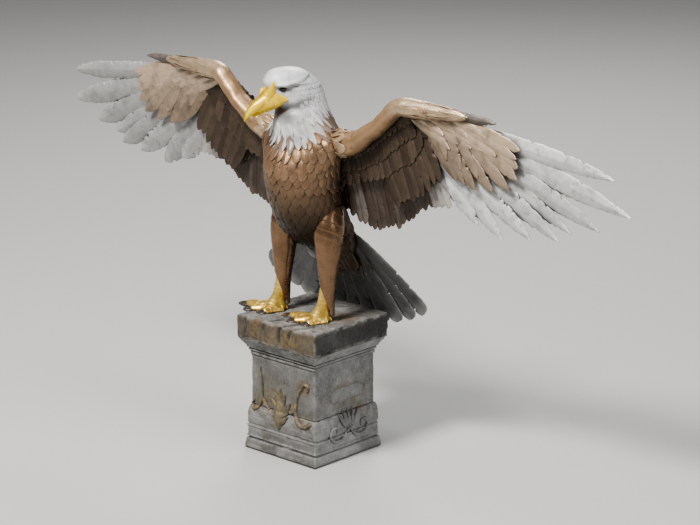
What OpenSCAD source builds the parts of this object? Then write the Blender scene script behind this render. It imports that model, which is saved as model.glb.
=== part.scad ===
// Cold-painted bronze eagle with raised wings, standing on a square stone pedestal.
// Millimetres, +Z up, the bird faces -Y, origin at the centre of the pedestal's underside.
// The bird's own heights are measured from the top of the cap slab, its perch.

/* [Pedestal] */
// Width of the square cap slab
cap_w = 80; // [76:1:88]
// Thickness of the cap slab
cap_t = 18; // [16:1:22]
// Height from the underside of the felt to the top of the cap slab
pedestal_h = 105; // [100:1:120]
// Width of the square shaft
shaft_w = 65; // [60:1:66]
// Width of the square plinth under the shaft
plinth_w = 70; // [69:1:74]
// Height of the plinth, with its flare up to the shaft
plinth_h = 35; // [32:1:40]
// Thickness of the moulding under the cap slab
moulding_h = 13; // [12:1:15]

/* [Figure] */
// Wall thickness of the hollow torso casting
wall_t = 3; // [2:0.5:4]
// Thickness of a wing or tail feather at its shaft
feather_t = 1.5; // [1.2:0.1:2]
// Width of the widest primary feather
primary_w = 18; // [14:0.5:20]
// Number of secondary feathers in each wing
secondary_count = 10; // [8:1:12]
// Number of greater covert feathers on each face of each wing
covert_count = 13; // [10:1:15]
// Number of tail feathers
tail_count = 11; // [9:2:13]
// Length of the longest tail feather
tail_length = 104; // [90:1:106]
// Turn of the head towards the bird's right, in degrees
head_turn = 25; // [0:1:30]
// Turn of both feet towards the bird's right, in degrees
foot_turn = 47; // [0:1:50]

/* [Fixings] */
// Diameter of the tie rod through the pedestal
tie_d = 6; // [5:0.5:8]
// Diameter of the studs through the legs
stud_d = 3; // [2.5:0.5:4]
// Diameter of the dowels that locate the wings
dowel_d = 4; // [3:0.5:5]
// Radial clearance of a rod, stud or dowel in its bore
fit_gap = 0.1; // [0.05:0.05:0.2]

/* [Hidden] */

perch_z = pedestal_h;
felt_t = 0.8;
cap_z = pedestal_h - cap_t;
shaft_z = plinth_h;
shaft_top = cap_z - moulding_h;
edge_bevel = 1.2;
tie_gap = 0.4;
tie_seat_r = 8;
tie_seat_h = 8;
tie_embed = 13;
washer_t = 1.2;
tie_nut_af = 10;
tie_nut_h = 5;
stud_seat_r = 5;
stud_seat_h = 8;
stud_nut_af = 5.5;
stud_nut_h = 2.4;
stud_up = 30;

neck_y = -8;
joint_slope = 0.27;
leg_x = 22.5;
leg_y = -9;
ring_sides = 24;

bronze = "saddlebrown";
bone = "gainsboro";
gilt = "goldenrod";
stone = "darkgray";
steel = "silver";

// ---- curves and lofts ----

function blend(a, b, t) = a + (b - a) * t;
function spline_span(a, b, c, d, t) =
    0.5 * (2 * b + (c - a) * t + (2 * a - 5 * b + 4 * c - d) * t * t
        + (3 * b - 3 * c + d - a) * t * t * t);

// The value at share s, from 0 to 1, of a smooth curve through the rows.
function along(rows, s) =
    let (last = len(rows) - 1, i = min(floor(s * last), last - 1))
    spline_span(rows[max(i - 1, 0)], rows[i], rows[i + 1], rows[min(i + 2, last)], s * last - i);

function unit(v) = v / norm(v);

// How much of the neck joint's slope a height takes: all of it at the joint, none far from it.
function slope_share(z) =
    let (t = z < deck_z ? (z - deck_z + 28) / 28 : 1 - (z - deck_z) / 22, c = min(1, max(0, t)))
    c * c * (3 - 2 * c);

// An elliptical ring about a centre, with half-widths across X and Y, sloped near the neck joint.
function body_ring(row, inset = 0, sides = ring_sides) =
    [for (j = [0:sides - 1])
        let (a = 360 * j / sides, y = (row[3] - inset) * sin(a))
        [(row[2] - inset) * cos(a), row[1] + y,
            row[0] + joint_slope * (row[1] + y - neck_y) * slope_share(row[0])]];

// A ring square to a direction: half-widths ra along side and rb along the third axis.
function cross_ring(centre, dir, side, ra, rb, sides) =
    let (b = unit(side - (side * dir) * dir), n = cross(dir, b))
    [for (j = [0:sides - 1])
        let (a = 360 * j / sides)
        centre + b * ra * cos(a) + n * rb * sin(a)];

// A closed solid through rings that all have the same number of points.
module skin(rings) {
    m = len(rings[0]);
    n = len(rings);
    polyhedron(
        points = [for (r = rings) each r],
        faces = concat(
            [[for (j = [0:m - 1]) j]],
            [[for (j = [m - 1:-1:0]) (n - 1) * m + j]],
            [for (i = [0:n - 2]) for (j = [0:m - 1])
                [i * m + j, (i + 1) * m + (j + 1) % m, i * m + (j + 1) % m]],
            [for (i = [0:n - 2]) for (j = [0:m - 1])
                [i * m + j, (i + 1) * m + j, (i + 1) * m + (j + 1) % m]]
        )
    );
}

// A tapering tube through path rows of [x, y, z, radius across side, other radius].
module limb(path, side, steps, sides = 12) {
    function at(s) = let (v = along(path, s)) [v[0], v[1], v[2]];
    skin([for (i = [0:steps])
        let (s = i / steps, d = 0.01,
            dir = unit(at(min(s + d, 1)) - at(max(s - d, 0))), v = along(path, s))
        cross_ring(at(s), dir, side, v[3], v[4], sides)]);
}

// Half-width of a feather at share s of its length: a narrow root, a broad vane, a drawn-in tip.
function vane(s) =
    (s < 0.3 ? blend(0.6, 1, sin(300 * s)) : 1) * (s > 0.62 ? sqrt(1 - pow((s - 0.62) / 0.39, 2)) : 1);

// One feather from root to tip. Its face looks along face, and bow lifts its middle that way.
module feather(root, tip, width, thick, face = [0, -1, 0], bow = 0, twist = 0, steps = 7) {
    dir = unit(tip - root);
    b0 = unit(cross(face, dir));
    n0 = cross(dir, b0);
    b = b0 * cos(twist) + n0 * sin(twist);
    n = cross(dir, b);
    skin([for (i = [0:steps])
        let (s = i / steps, w = width / 2 * vane(s), t = thick * (1 - 0.55 * s),
            c = blend(root, tip, s) + n0 * bow * sin(180 * s))
        [c + b * w, c + b * w * 0.45 + n * t * 0.6, c + n * t * 0.7,
            c - b * w * 0.45 + n * t * 0.6, c - b * w, c - n * t * 0.3]]);
}

module mirrored(side) mirror([side < 0 ? 1 : 0, 0, 0]) children();

module on_perch() translate([0, 0, perch_z]) children();

// OpenSCAD's own mesh of what is inside, for shapes that are cut by another casting.
module meshed() resize([0, 0, 0]) children();

// ---- pedestal ----

// A square-plan block whose half-width follows rows of [half-width, height].
module square_turned(rows) {
    outline = concat(
        [for (r = rows) r],
        [for (i = [len(rows) - 1:-1:0]) [-rows[i][0], rows[i][1]]]
    );
    depth = 2 * cap_w;
    intersection() {
        rotate([90, 0, 0]) linear_extrude(depth, center = true) polygon(outline);
        rotate([90, 0, 90]) linear_extrude(depth, center = true) polygon(outline);
    }
}

module tie_bore(from, to) translate([0, 0, from]) cylinder(r = tie_d / 2 + tie_gap, h = to - from);

module cap_slab() color(stone) difference() {
    w = cap_w / 2;
    square_turned([
        [w - 0.6, cap_z], [w, cap_z + 0.8], [w, pedestal_h - edge_bevel],
        [w - edge_bevel, pedestal_h]
    ]);
    translate([0, 0, cap_z - 1]) cylinder(r = tie_d / 2 + fit_gap, h = tie_embed + 1);
    for (x = [-leg_x, leg_x]) translate([x, leg_y, cap_z - 1]) {
        cylinder(r = stud_d / 2 + fit_gap, h = cap_t + 2);
        cylinder(r = stud_seat_r, h = stud_seat_h + 1);
    }
}

module neck_moulding() color(stone) difference() {
    w = shaft_w / 2;
    top = cap_w / 2 - 0.5;
    square_turned([
        [w, shaft_top], [w + 0.8, shaft_top], [w + 0.8, shaft_top + 2], [w + 2, shaft_top + 2.4],
        [w + 2, shaft_top + 4.4], [w + 3.2, shaft_top + 4.8], [w + 3.2, shaft_top + 6.6],
        [w + 4, shaft_top + 7.2], [blend(w + 4, top, 0.5), cap_z - 3], [top, cap_z - 1.2], [top, cap_z]
    ]);
    tie_bore(shaft_top - 1, cap_z + 1);
}

module shaft_block() color(stone) difference() {
    translate([-shaft_w / 2, -shaft_w / 2, shaft_z]) cube([shaft_w, shaft_w, shaft_top - shaft_z]);
    tie_bore(shaft_z - 1, shaft_top + 1);
}

// The plinth with its flare, as rows of [half-width, height].
plinth_rows = let (w = plinth_w / 2, flare = 9) concat(
    [[w + 1.6, felt_t], [w + 1.6, 3], [w + 0.5, 8.5], [w - 0.3, 9], [w - 0.3, 10.2],
        [w + 0.4, 10.8], [w + 0.2, 17.6], [w - 0.6, 18.2], [w - 0.6, 19.4], [w, 20],
        [w, plinth_h - flare]],
    [for (a = [15:15:90])
        [blend(w, shaft_w / 2, 1 - cos(a)), plinth_h - flare + flare * sin(a)]]
);

module base_plinth() color(stone) difference() {
    square_turned(plinth_rows);
    tie_bore(0, plinth_h + 1);
    cylinder(r = tie_seat_r, h = tie_seat_h);
}

module felt_pad() color("black") {
    w = plinth_w - 2;
    translate([-w / 2, -w / 2, 0]) cube([w, w, felt_t]);
}

module tie_rod() color(steel)
    translate([0, 0, 1.6]) cylinder(r = tie_d / 2, h = cap_z + tie_embed - 2.6);

module tie_rod_washer() color(steel) translate([0, 0, tie_seat_h - washer_t]) difference() {
    cylinder(r = 7, h = washer_t);
    translate([0, 0, -1]) cylinder(r = tie_d / 2 + fit_gap, h = washer_t + 2);
}

module hex_nut(across, high, bore_r) difference() {
    cylinder(r = across / sqrt(3), h = high, $fn = 6);
    translate([0, 0, -1]) cylinder(r = bore_r, h = high + 2);
}

module tie_rod_nut() color(steel)
    translate([0, 0, tie_seat_h - washer_t - tie_nut_h]) hex_nut(tie_nut_af, tie_nut_h, tie_d / 2 + fit_gap);

// An ornament drawn in X and Z on the front face. It stands proud by thick and follows the flare.
module relief(thick) {
    faces = [for (r = plinth_rows) if (r[1] > 10.5) r];
    body = concat(faces, [[shaft_w / 2, shaft_top - 1]]);
    skin_rows = [for (r = body) [r[0] + thick, r[1]]];
    difference() {
        intersection() {
            square_turned(skin_rows);
            rotate([90, 0, 0]) linear_extrude(cap_w) children();
        }
        square_turned(concat([[body[0][0], 5]], body, [[shaft_w / 2, cap_z]]));
    }
}

// A leaf outline from one point to another, with round sides of the given half-width.
module leaf(low, high, half) {
    dir = unit(high - low);
    n = [dir[1], -dir[0]];
    polygon(concat(
        [for (s = [0:0.1:0.9]) blend(low, high, s) + n * half * sin(180 * pow(s, 0.8))],
        [for (s = [1:-0.1:0.1]) blend(low, high, s) - n * half * sin(180 * pow(s, 0.8))]
    ));
}

// A curling strap through path rows of [x, y, half-width].
module strap(path, steps = 24) {
    function at(s) = let (v = along(path, s)) [v[0], v[1]];
    function normal(s) =
        let (d = unit(at(min(s + 0.01, 1)) - at(max(s - 0.01, 0)))) [d[1], -d[0]];
    polygon(concat(
        [for (i = [0:steps]) let (s = i / steps) at(s) + normal(s) * along(path, s)[2]],
        [for (i = [steps:-1:0]) let (s = i / steps) at(s) - normal(s) * along(path, s)[2]]
    ));
}

module front_palmette() color(gilt) relief(2) union() {
    leaf([-2, 22], [-2.4, 54], 5.4);
    leaf([-1, 30], [-12.5, 44], 2.6);
    leaf([-1, 30], [8, 43], 2.6);
    leaf([-2, 26], [-9, 32], 2);
    leaf([-2, 26], [6, 31], 2);
}

module front_scrolls() color(gilt) {
    relief(1.5) strap([[-23, 64, 0.5], [-21.4, 55, 1.1], [-20.8, 46, 1.3], [-23, 37, 1.6],
        [-28, 32.6, 1.5], [-31, 35.6, 1], [-29, 38.4, 0.7]]);
    relief(1.5) strap([[25.4, 56, 0.7], [26, 60, 1], [22.4, 61.4, 1.2], [17.4, 55, 1.3],
        [14, 46, 1.4], [13.4, 37.6, 1.6], [18, 30.6, 1.8], [25, 29.8, 1.6], [31, 33.4, 1]]);
}

// The right-hand face's relief as drawn, and its mirror image on the left-hand face.
module side_relief(side) color(stone) mirrored(side) rotate(90) relief(0.8) union() {
    difference() {
        translate([-15, 43]) square([34, 13]);
        translate([-13.4, 44.6]) square([30.8, 9.8]);
    }
    for (i = [-2:2]) leaf([2 + 1.6 * i, 24], [2 + 5.6 * i, 38 - abs(i)], 1.7);
    for (x = [-1, 1]) translate([2, 0]) mirror([x < 0 ? 1 : 0, 0])
        strap([[1, 22, 0.6], [7, 16, 1.1], [15, 15, 1.2], [20, 20, 1.1], [18, 25.4, 1], [13, 25, 0.8],
            [13, 21.6, 0.6]]);
}

// ---- figure: castings ----

// Rows of [height, y of the centre, half-width across X, half-width across Y].
torso_rows = [
    [46, 9, 6, 5], [52, 7, 14, 12], [60, 3, 20, 18], [72, -3, 24, 23], [87, -6, 26.5, 26],
    [102, -8, 28, 28], [116, -8.5, 29, 28], [128, -8, 28, 26], [136, -8, 25, 23.6], [141, -8.2, 22.2, 21.4]
];
torso_steps = 18;
spigot_r = 13;
spigot_z = 125;
deck_z = torso_rows[len(torso_rows) - 1][0];

module torso_outside() skin([for (i = [0:torso_steps]) body_ring(along(torso_rows, i / torso_steps))]);

module torso_cavity() {
    inner_from = 0.14;
    inner_to = 0.72;
    steps = 10;
    skin([for (i = [0:steps]) body_ring(along(torso_rows, blend(inner_from, inner_to, i / steps)), wall_t)]);
}

module torso() color(bronze) on_perch() difference() {
    meshed() difference() {
        torso_outside();
        torso_cavity();
        translate([0, neck_y, spigot_z - 4]) cylinder(r = spigot_r - 3, h = 40);
    }
    translate([0, neck_y, spigot_z - 4]) cylinder(r = spigot_r + fit_gap, h = 40);
    for (p = dowel_points) translate([-40, p[0], p[1]]) rotate([0, 90, 0])
        cylinder(r = dowel_d / 2 + fit_gap, h = 80);
    tail_screw_line() cylinder(r = stud_d / 2 + fit_gap, h = 30);
}

// Head and neck, with the rows as for the torso, before the head turns about the neck.
head_rows = [
    [141, -8.2, 22.6, 21.8], [148, -9.4, 20.8, 20.8], [154, -10.6, 19.4, 20.4], [160, -11.4, 17.6, 19.6],
    [166, -12.6, 16, 19.2], [172, -15.6, 15.2, 20], [178, -18.8, 14.6, 20], [183.4, -20.6, 12.2, 16.2],
    [187, -21.8, 8.2, 11.4], [188.8, -21.6, 3, 4.6]
];

// Turns a point or a piece about the neck by a share of the head's turn that grows up the neck.
function turned(p, share) =
    let (a = -head_turn * share, x = p[0], y = p[1] - neck_y)
    [x * cos(a) - y * sin(a), x * sin(a) + y * cos(a) + neck_y, p[2]];

module head_turned() translate([0, neck_y, 0]) rotate(-head_turn) translate([0, -neck_y, 0]) children();

module head_outside() {
    steps = 18;
    skin([for (i = [0:steps])
        let (row = along(head_rows, i / steps), share = min(1, max(0, (row[0] - deck_z) / 22)))
        [for (p = body_ring(row)) turned(p, share)]]);
}

module head() color(bone) on_perch() {
    difference() {
        meshed() difference() {
            head_outside();
            head_turned() beak_envelope();
        }
        head_turned() for (x = [-1, 1]) translate([x * eye_x, eye_y, eye_z]) sphere(r = eye_r + 0.05);
    }
    translate([0, neck_y, spigot_z]) cylinder(r = spigot_r, h = deck_z - spigot_z + 5);
}

eye_x = 11.6;
eye_y = -27;
eye_z = 175.5;
eye_r = 3;

module eyes() color("gold") on_perch() head_turned()
    for (x = [-1, 1]) translate([x * eye_x, eye_y, eye_z]) sphere(r = eye_r);

// Beak rows of [x, y, z, half-width, half-depth], from inside the face to the hooked tip.
upper_beak_rows = [
    [0, -31, 173, 8.4, 8.6], [0, -36.6, 169.4, 7.4, 7.6], [0, -42, 165, 5.8, 6], [0, -47.2, 160.6, 4.2, 4.4],
    [0, -51, 156.2, 2.5, 2.7], [0, -54.2, 150.8, 0.4, 0.5]
];
lower_beak_rows = [
    [0, -25, 164, 7.4, 2.8], [0, -31, 161.6, 6.6, 2.8], [0, -37.4, 159, 4.8, 2.4],
    [0, -43.2, 156.8, 3.2, 1.9],
    [0, -48, 154.2, 1.1, 0.8]
];

module beak_envelope() {
    limb(upper_beak_rows, [1, 0, 0], 10, 16);
    limb(lower_beak_rows, [1, 0, 0], 6, 12);
}

module upper_beak() color(gilt) on_perch() head_turned() limb(upper_beak_rows, [1, 0, 0], 10, 16);

module lower_beak() color(gilt) on_perch() meshed() difference() {
    head_turned() limb(lower_beak_rows, [1, 0, 0], 6, 12);
    head_turned() limb(upper_beak_rows, [1, 0, 0], 10, 16);
}

thigh_rows = [
    [18.6, -1, 84, 10, 10], [21.2, -4.8, 72, 10.6, 12.2], [22.4, -6, 60, 9.8, 11.4],
    [22.9, -6.6, 46, 8.4, 9.4], [22.8, -7.2, 33, 6.6, 7.4], [22.7, -7.8, 21, 5.3, 6.2],
    [22.6, -7.8, 7, 4.9, 5.4]
];
// The leg under the feathers, in the foot's own frame.
shank_rows = [[0, 0.6, 33, 3.4, 4], [0, 0.2, 20, 4.5, 5.2], [0, -0.6, 11, 5, 6], [0, -2.6, 3.4, 6.2, 8]];
bare_z = 16;
bare_slope = 68;

// Everything below and in front of the sloping line where the leg feathers give way to bare skin.
module bare_leg(side) translate([side * leg_x, leg_y, bare_z]) rotate(-foot_turn) rotate([-bare_slope, 0, 0])
    translate([-60, -80, -80]) cube([120, 160, 80]);

module thigh(side) color(bronze) on_perch() difference() {
    meshed() difference() {
        mirrored(side) limb(thigh_rows, [1, 0, 0], 12, 16);
        torso_outside();
        bare_leg(side);
    }
    translate([side * leg_x, leg_y, 5]) cylinder(r = stud_d / 2 + fit_gap, h = stud_up - 3);
}

// Toe rows of [reach along the toe, height, radius].
toe_rows = [[0, 6.8, 6.2], [6, 6, 5.3], [12, 5.3, 4.8], [18, 4.9, 4.3], [24.5, 3.9, 3.4]];
talon_rows = [[22, 4.2, 2.6], [25, 4.8, 2.2], [28, 4.6, 1.7], [30.4, 3.3, 1.1], [31.6, 1.4, 0.3]];
// Each toe: its heading from the foot's own, and its length as a share of the rows.
toes = [[-31, 1.12], [-3, 0.86], [33, 0.6], [-98, 0.5]];

module toe_limb(rows, toe, steps, sides) rotate(toe[0])
    limb([for (r = rows) [0, -r[0] * toe[1], r[1], r[2], r[2]]], [1, 0, 0], steps, sides);

module at_foot(side) on_perch() translate([side * leg_x, leg_y, 0]) rotate(-foot_turn) children();

module foot(side) color(gilt) difference() {
    meshed() union() {
        intersection() {
            at_foot(side) limb(shank_rows, [1, 0, 0], 7, 14);
            on_perch() bare_leg(side);
        }
        for (toe = toes) at_foot(side) toe_limb(toe_rows, toe, 6, 9);
    }
    on_perch() translate([side * leg_x, leg_y, -1]) cylinder(r = stud_d / 2 + fit_gap, h = 40);
}

module talons(side) color("dimgray") at_foot(side) for (toe = toes) toe_limb(talon_rows, toe, 5, 8);

module leg_stud(side) color(steel) translate([side * leg_x, leg_y, cap_z + 1])
    cylinder(r = stud_d / 2, h = cap_t - 1 + stud_up);

module leg_stud_washers() color(steel)
    for (x = [-leg_x, leg_x]) translate([x, leg_y, cap_z + stud_seat_h - washer_t]) difference() {
        cylinder(r = stud_seat_r - 0.6, h = washer_t);
        translate([0, 0, -1]) cylinder(r = stud_d / 2 + fit_gap, h = washer_t + 2);
    }

module leg_stud_nuts() color(steel)
    for (x = [-leg_x, leg_x]) translate([x, leg_y, cap_z + stud_seat_h - washer_t - stud_nut_h])
        hex_nut(stud_nut_af, stud_nut_h, stud_d / 2 + fit_gap);

// ---- figure: wings ----

// Rows of [x, y, z, half-height, half-depth] along the leading edge, from shoulder to hand.
arm_rows = [
    [18, -9, 136, 9.6, 10], [28, -8.6, 138.4, 8.8, 9.6], [36, -7.8, 139.2, 7, 9],
    [48, -6.2, 140.8, 6, 8.6], [60, -5.5, 147, 6, 8.2], [78, -5.5, 161.2, 6, 7.3], [91, -5, 170.8, 6.5, 7],
    [107, -4.2, 171.2, 6.6, 6], [128, -3, 171.6, 4.1, 3.8], [148, -2, 171.8, 1.2, 1.2]
];
// The web behind the feathers, drawn in X and Z.
web_outline = [
    [22, 98], [24, 124], [36, 134], [52, 141], [60, 147], [78, 161], [91, 170], [107, 170],
    [128, 170], [146, 168], [154, 152], [138, 142], [118, 132], [96, 124], [70, 114], [44, 104]
];
web_y = 1;
web_t = 2.2;
dowel_points = [[-11, 135.5], [-6, 142]];
dowel_from = 18;
dowel_long = 16;

module wing_arm(side) color(bronze) on_perch() mirrored(side) difference() {
    meshed() difference() {
        union() {
            limb(arm_rows, [0, 0, 1], 20, 14);
            translate([0, web_y + web_t, 0]) rotate([90, 0, 0]) linear_extrude(web_t) polygon(web_outline);
        }
        torso_outside();
    }
    for (p = dowel_points) translate([dowel_from, p[0], p[1]]) rotate([0, 90, 0])
        cylinder(r = dowel_d / 2 + fit_gap, h = dowel_long + 1);
}

module wing_dowels() color(steel) on_perch() for (side = [-1, 1]) for (p = dowel_points)
    mirrored(side) translate([dowel_from, p[0], p[1]]) rotate([0, 90, 0])
        cylinder(r = dowel_d / 2, h = dowel_long);

// Tips of the primaries, from the leading edge inwards, and their widths as shares of primary_w.
primary_tips = [
    [268, 10, 145], [277, 17, 119.5], [251, 17, 105.5], [228, 16, 100], [219, 14, 93],
    [196, 12, 90.5], [170, 13, 85.5], [149, 12, 92]
];
primary_widths = [0.82, 1, 1, 0.94, 1, 1, 1, 0.94];
primary_first = [140, 4, 161];
primary_last = [108, 4, 134];

module primary(side, i) color(bone) on_perch() mirrored(side)
    feather(blend(primary_first, primary_last, i / 7), primary_tips[i],
        primary_w * primary_widths[i], feather_t, [0, -1, 0], -1.5, 8, 9);

secondary_roots = [[106, 4, 140], [96, 4, 138], [84, 4, 134], [70, 4, 129], [54, 4, 121], [40, 5, 113]];
secondary_tips = [[124, 10, 100], [113, 10, 98], [101, 11, 94], [84, 12, 82], [64, 12, 74], [46, 10, 75]];

module row_of_feathers(roots, tips, count, width, shift, bow, twist) for (i = [0:count - 1])
    let (s = i / (count - 1))
    feather(along(roots, s) + shift, along(tips, s) + shift, width, feather_t, [0, -1, 0], bow, twist);

module secondaries(side) color(bone) on_perch() mirrored(side)
    row_of_feathers(secondary_roots, secondary_tips, secondary_count, 17, [0, 0, 0], -1, 4);

covert_roots = [[140, -1, 167], [128, -1, 167], [114, -2, 167], [98, -2, 166], [78, -2, 158],
    [58, -2, 144], [38, -2, 133]];
covert_tips = [[187, 3, 155], [188, 3, 132], [172, 3, 123], [150, 2, 122], [122, 2, 119],
    [94, 1, 112], [66, 1, 107], [38, 0, 105]];

module under_coverts(side) color(bronze) on_perch() mirrored(side)
    row_of_feathers(covert_roots, covert_tips, covert_count, 19, [0, 0, 0], 0, 4);

module upper_coverts(side) color(bronze) on_perch() mirrored(side)
    row_of_feathers(covert_roots, covert_tips, covert_count, 19, [0, 7, -2], -1, -4);

module alula(side) color(bronze) on_perch() mirrored(side) {
    feather([114, -2, 173], [174, -0.5, 170.8], 7, 2, [0, -1, 0], 0.5, 20);
    feather([118, -1, 172], [166, 0.4, 169], 6.4, 2, [0, -1, 0], 0.5, 20);
}

// ---- figure: tail ----

tail_root = [0, 15, 72];
tail_lean = 22;
tail_spread = 48;
tail_turn = -3.4;

module tail_frame() translate(tail_root) rotate([tail_lean, 0, 0]) children();

module tail_feathers() color(bone) on_perch() tail_frame() for (i = [0:tail_count - 1])
    let (a = blend(-tail_spread, tail_spread, i / (tail_count - 1)),
        out = [sin(a + tail_turn), 0, -cos(a + tail_turn)], lift = [0, 0.3 * (i % 2) + abs(a) / 40, 0])
    feather(out * 14 + lift, out * tail_length * (1 - 0.1 * cos(1.8 * a)) + lift, 21, feather_t,
        [0, -1, 0], -2, 5);

// The cast rump: a wedge of coverts over the tail's root.
rump_rows = [
    [0, 4, 92, 14, 12], [0, 11, 80, 19, 10], [0, 17.6, 66, 22, 7], [0, 22.6, 52, 21, 5], [0, 27, 40, 14, 3]
];

module tail_rump() color(bronze) on_perch() difference() {
    meshed() difference() {
        limb(rump_rows, [1, 0, 0], 8, 18);
        torso_outside();
    }
    tail_screw_line() cylinder(r = stud_d / 2 + fit_gap, h = 30);
}

module tail_screw_line() translate([0, 22, 74]) rotate([115, 0, 0]) translate([0, 0, -3]) children();

module tail_screw() color(steel) on_perch() tail_screw_line() cylinder(r = stud_d / 2, h = 16);

// ---- the nodes ----

cap_slab();
neck_moulding();
shaft_block();
base_plinth();
felt_pad();
tie_rod();
tie_rod_nut();
tie_rod_washer();
front_palmette();
front_scrolls();
side_relief(1);  // left_side_relief
side_relief(-1);  // right_side_relief
torso();
head();
upper_beak();
lower_beak();
eyes();
tail_rump();
tail_feathers();
tail_screw();
thigh(1);  // left_thigh
thigh(-1);  // right_thigh
foot(1);  // left_foot
foot(-1);  // right_foot
talons(1);  // left_talons
talons(-1);  // right_talons
leg_stud(1);  // left_leg_stud
leg_stud(-1);  // right_leg_stud
leg_stud_nuts();
leg_stud_washers();
wing_dowels();
wing_arm(1);  // left_wing_arm
wing_arm(-1);  // right_wing_arm
alula(1);  // left_alula
alula(-1);  // right_alula
secondaries(1);  // left_secondaries
secondaries(-1);  // right_secondaries
under_coverts(1);  // left_under_coverts
under_coverts(-1);  // right_under_coverts
upper_coverts(1);  // left_upper_coverts
upper_coverts(-1);  // right_upper_coverts
for (i = [0:7]) {
    primary(1, i);
    primary(-1, i);
}
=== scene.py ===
"""The looks of a cold-painted bronze eagle on a stone pedestal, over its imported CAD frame.

Shapes are worked out in millimetres in the row frame and stored in metres. The bird's own
heights count from the top of the cap slab, its perch. Every piece is made of closed shells.
"""
from math import ceil, cos, pi, radians, sin

import bpy
import numpy as np
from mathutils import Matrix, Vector


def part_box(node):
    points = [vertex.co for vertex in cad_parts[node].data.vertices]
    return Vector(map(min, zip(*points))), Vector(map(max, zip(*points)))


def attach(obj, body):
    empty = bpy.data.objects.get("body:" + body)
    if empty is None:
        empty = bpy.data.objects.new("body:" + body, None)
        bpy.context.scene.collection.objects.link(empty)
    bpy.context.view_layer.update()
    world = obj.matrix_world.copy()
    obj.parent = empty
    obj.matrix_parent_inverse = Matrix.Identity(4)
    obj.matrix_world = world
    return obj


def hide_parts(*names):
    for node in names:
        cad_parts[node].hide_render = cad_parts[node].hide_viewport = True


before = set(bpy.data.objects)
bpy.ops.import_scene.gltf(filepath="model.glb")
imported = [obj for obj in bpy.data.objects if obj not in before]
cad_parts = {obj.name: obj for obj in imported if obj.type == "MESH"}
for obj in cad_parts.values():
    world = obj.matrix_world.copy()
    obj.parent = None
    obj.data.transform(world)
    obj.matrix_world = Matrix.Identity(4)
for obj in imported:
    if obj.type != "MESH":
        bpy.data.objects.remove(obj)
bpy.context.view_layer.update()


def corners(node):
    low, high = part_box(node)
    return np.array(low) * 1000, np.array(high) * 1000


PERCH = corners("cap_slab")[1][2]
CAP_Z = corners("cap_slab")[0][2]
CAP_W = corners("cap_slab")[1][0]
SHAFT_W = corners("shaft_block")[1][0]
SHAFT_Z, SHAFT_TOP = corners("shaft_block")[0][2], corners("shaft_block")[1][2]
FELT = corners("felt_pad")[1][2]
PLINTH_W = corners("base_plinth")[1][0] - 1.6
NECK_Y = -8.0
JOINT_Z = 141.0
JOINT_SLOPE = 0.27
HEAD_TURN = 25.0

# ---------------------------------------------------------------- camera, light and floor

scene = bpy.context.scene


def aim(thing, place, target):
    thing.location = place
    thing.rotation_euler = (Vector(target) - Vector(place)).to_track_quat("-Z", "Y").to_euler()


def from_target(target, azimuth, elevation, distance):
    """A place at that distance from target, with azimuth 0 in front of the bird."""
    a, e = radians(azimuth), radians(elevation)
    back = Vector((sin(a) * cos(e), -cos(a) * cos(e), sin(e)))
    return Vector(target) + back * distance


TARGET = (0.02045, 0.0188, 0.14381)
VIEW_AZIMUTH, VIEW_ELEVATION, VIEW_DISTANCE, VIEW_LENS = 42.78, 15.98, 1.9212, 133.7
camera = bpy.data.objects.new("camera", bpy.data.cameras.new("camera"))
scene.collection.objects.link(camera)
camera.data.sensor_width = 36
camera.data.lens = VIEW_LENS
camera.data.clip_end = 50
aim(camera, from_target(TARGET, VIEW_AZIMUTH, VIEW_ELEVATION, VIEW_DISTANCE), TARGET)
scene.camera = camera


def softbox(name, azimuth, elevation, distance, size, watts, colour=(1, 1, 1)):
    light = bpy.data.objects.new(name, bpy.data.lights.new(name, "AREA"))
    light.data.shape = "DISK"
    light.data.size = size
    light.data.energy = watts
    light.data.color = colour
    scene.collection.objects.link(light)
    aim(light, from_target(TARGET, azimuth, elevation, distance), TARGET)


softbox("key", -4, 52, 1.5, 0.4, 31, (1.0, 0.97, 0.93))
softbox("fill", 98, 24, 1.8, 0.9, 10, (0.97, 0.98, 1.0))
softbox("top", 50, 84, 1.5, 0.6, 6)
softbox("rim", 215, 38, 1.6, 0.6, 10, (1.0, 0.98, 0.95))

world = bpy.data.worlds.new("studio")
world.use_nodes = True
world.node_tree.nodes["Background"].inputs["Color"].default_value = (0.80, 0.81, 0.83, 1)
world.node_tree.nodes["Background"].inputs["Strength"].default_value = 0.2
scene.world = world
scene.view_settings.look = "AgX - Medium High Contrast"

# ---------------------------------------------------------------- numbers and curves


def unit(v):
    v = np.asarray(v, float)
    return v / np.maximum(np.linalg.norm(v, axis=-1, keepdims=True), 1e-9)


def smooth(t):
    t = np.clip(t, 0, 1)
    return t * t * (3 - 2 * t)


def bell(x, width):
    """A soft hump of height 1 at x = 0."""
    return np.exp(-(x / width) ** 2)


def mix(a, b, t):
    return np.asarray(a, float) + (np.asarray(b, float) - np.asarray(a, float)) * t


def along(rows, s):
    """Values at shares s, from 0 to 1, of a smooth curve through the rows."""
    rows = np.asarray(rows, float)
    last = len(rows) - 1
    s = np.clip(np.asarray(s, float), 0, 1) * last
    i = np.minimum(s.astype(int), last - 1)
    t = (s - i)[..., None]
    a, b = rows[np.maximum(i - 1, 0)], rows[i]
    c, d = rows[i + 1], rows[np.minimum(i + 2, last)]
    bend = 2 * a - 5 * b + 4 * c - d
    return 0.5 * (2 * b + (c - a) * t + bend * t ** 2 + (3 * b - 3 * c + d - a) * t ** 3)


def heading(path, t):
    """The direction of a path at shares t."""
    return unit((along(path, np.minimum(t + 0.01, 1)) - along(path, np.maximum(t - 0.01, 0)))[..., :3])


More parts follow.
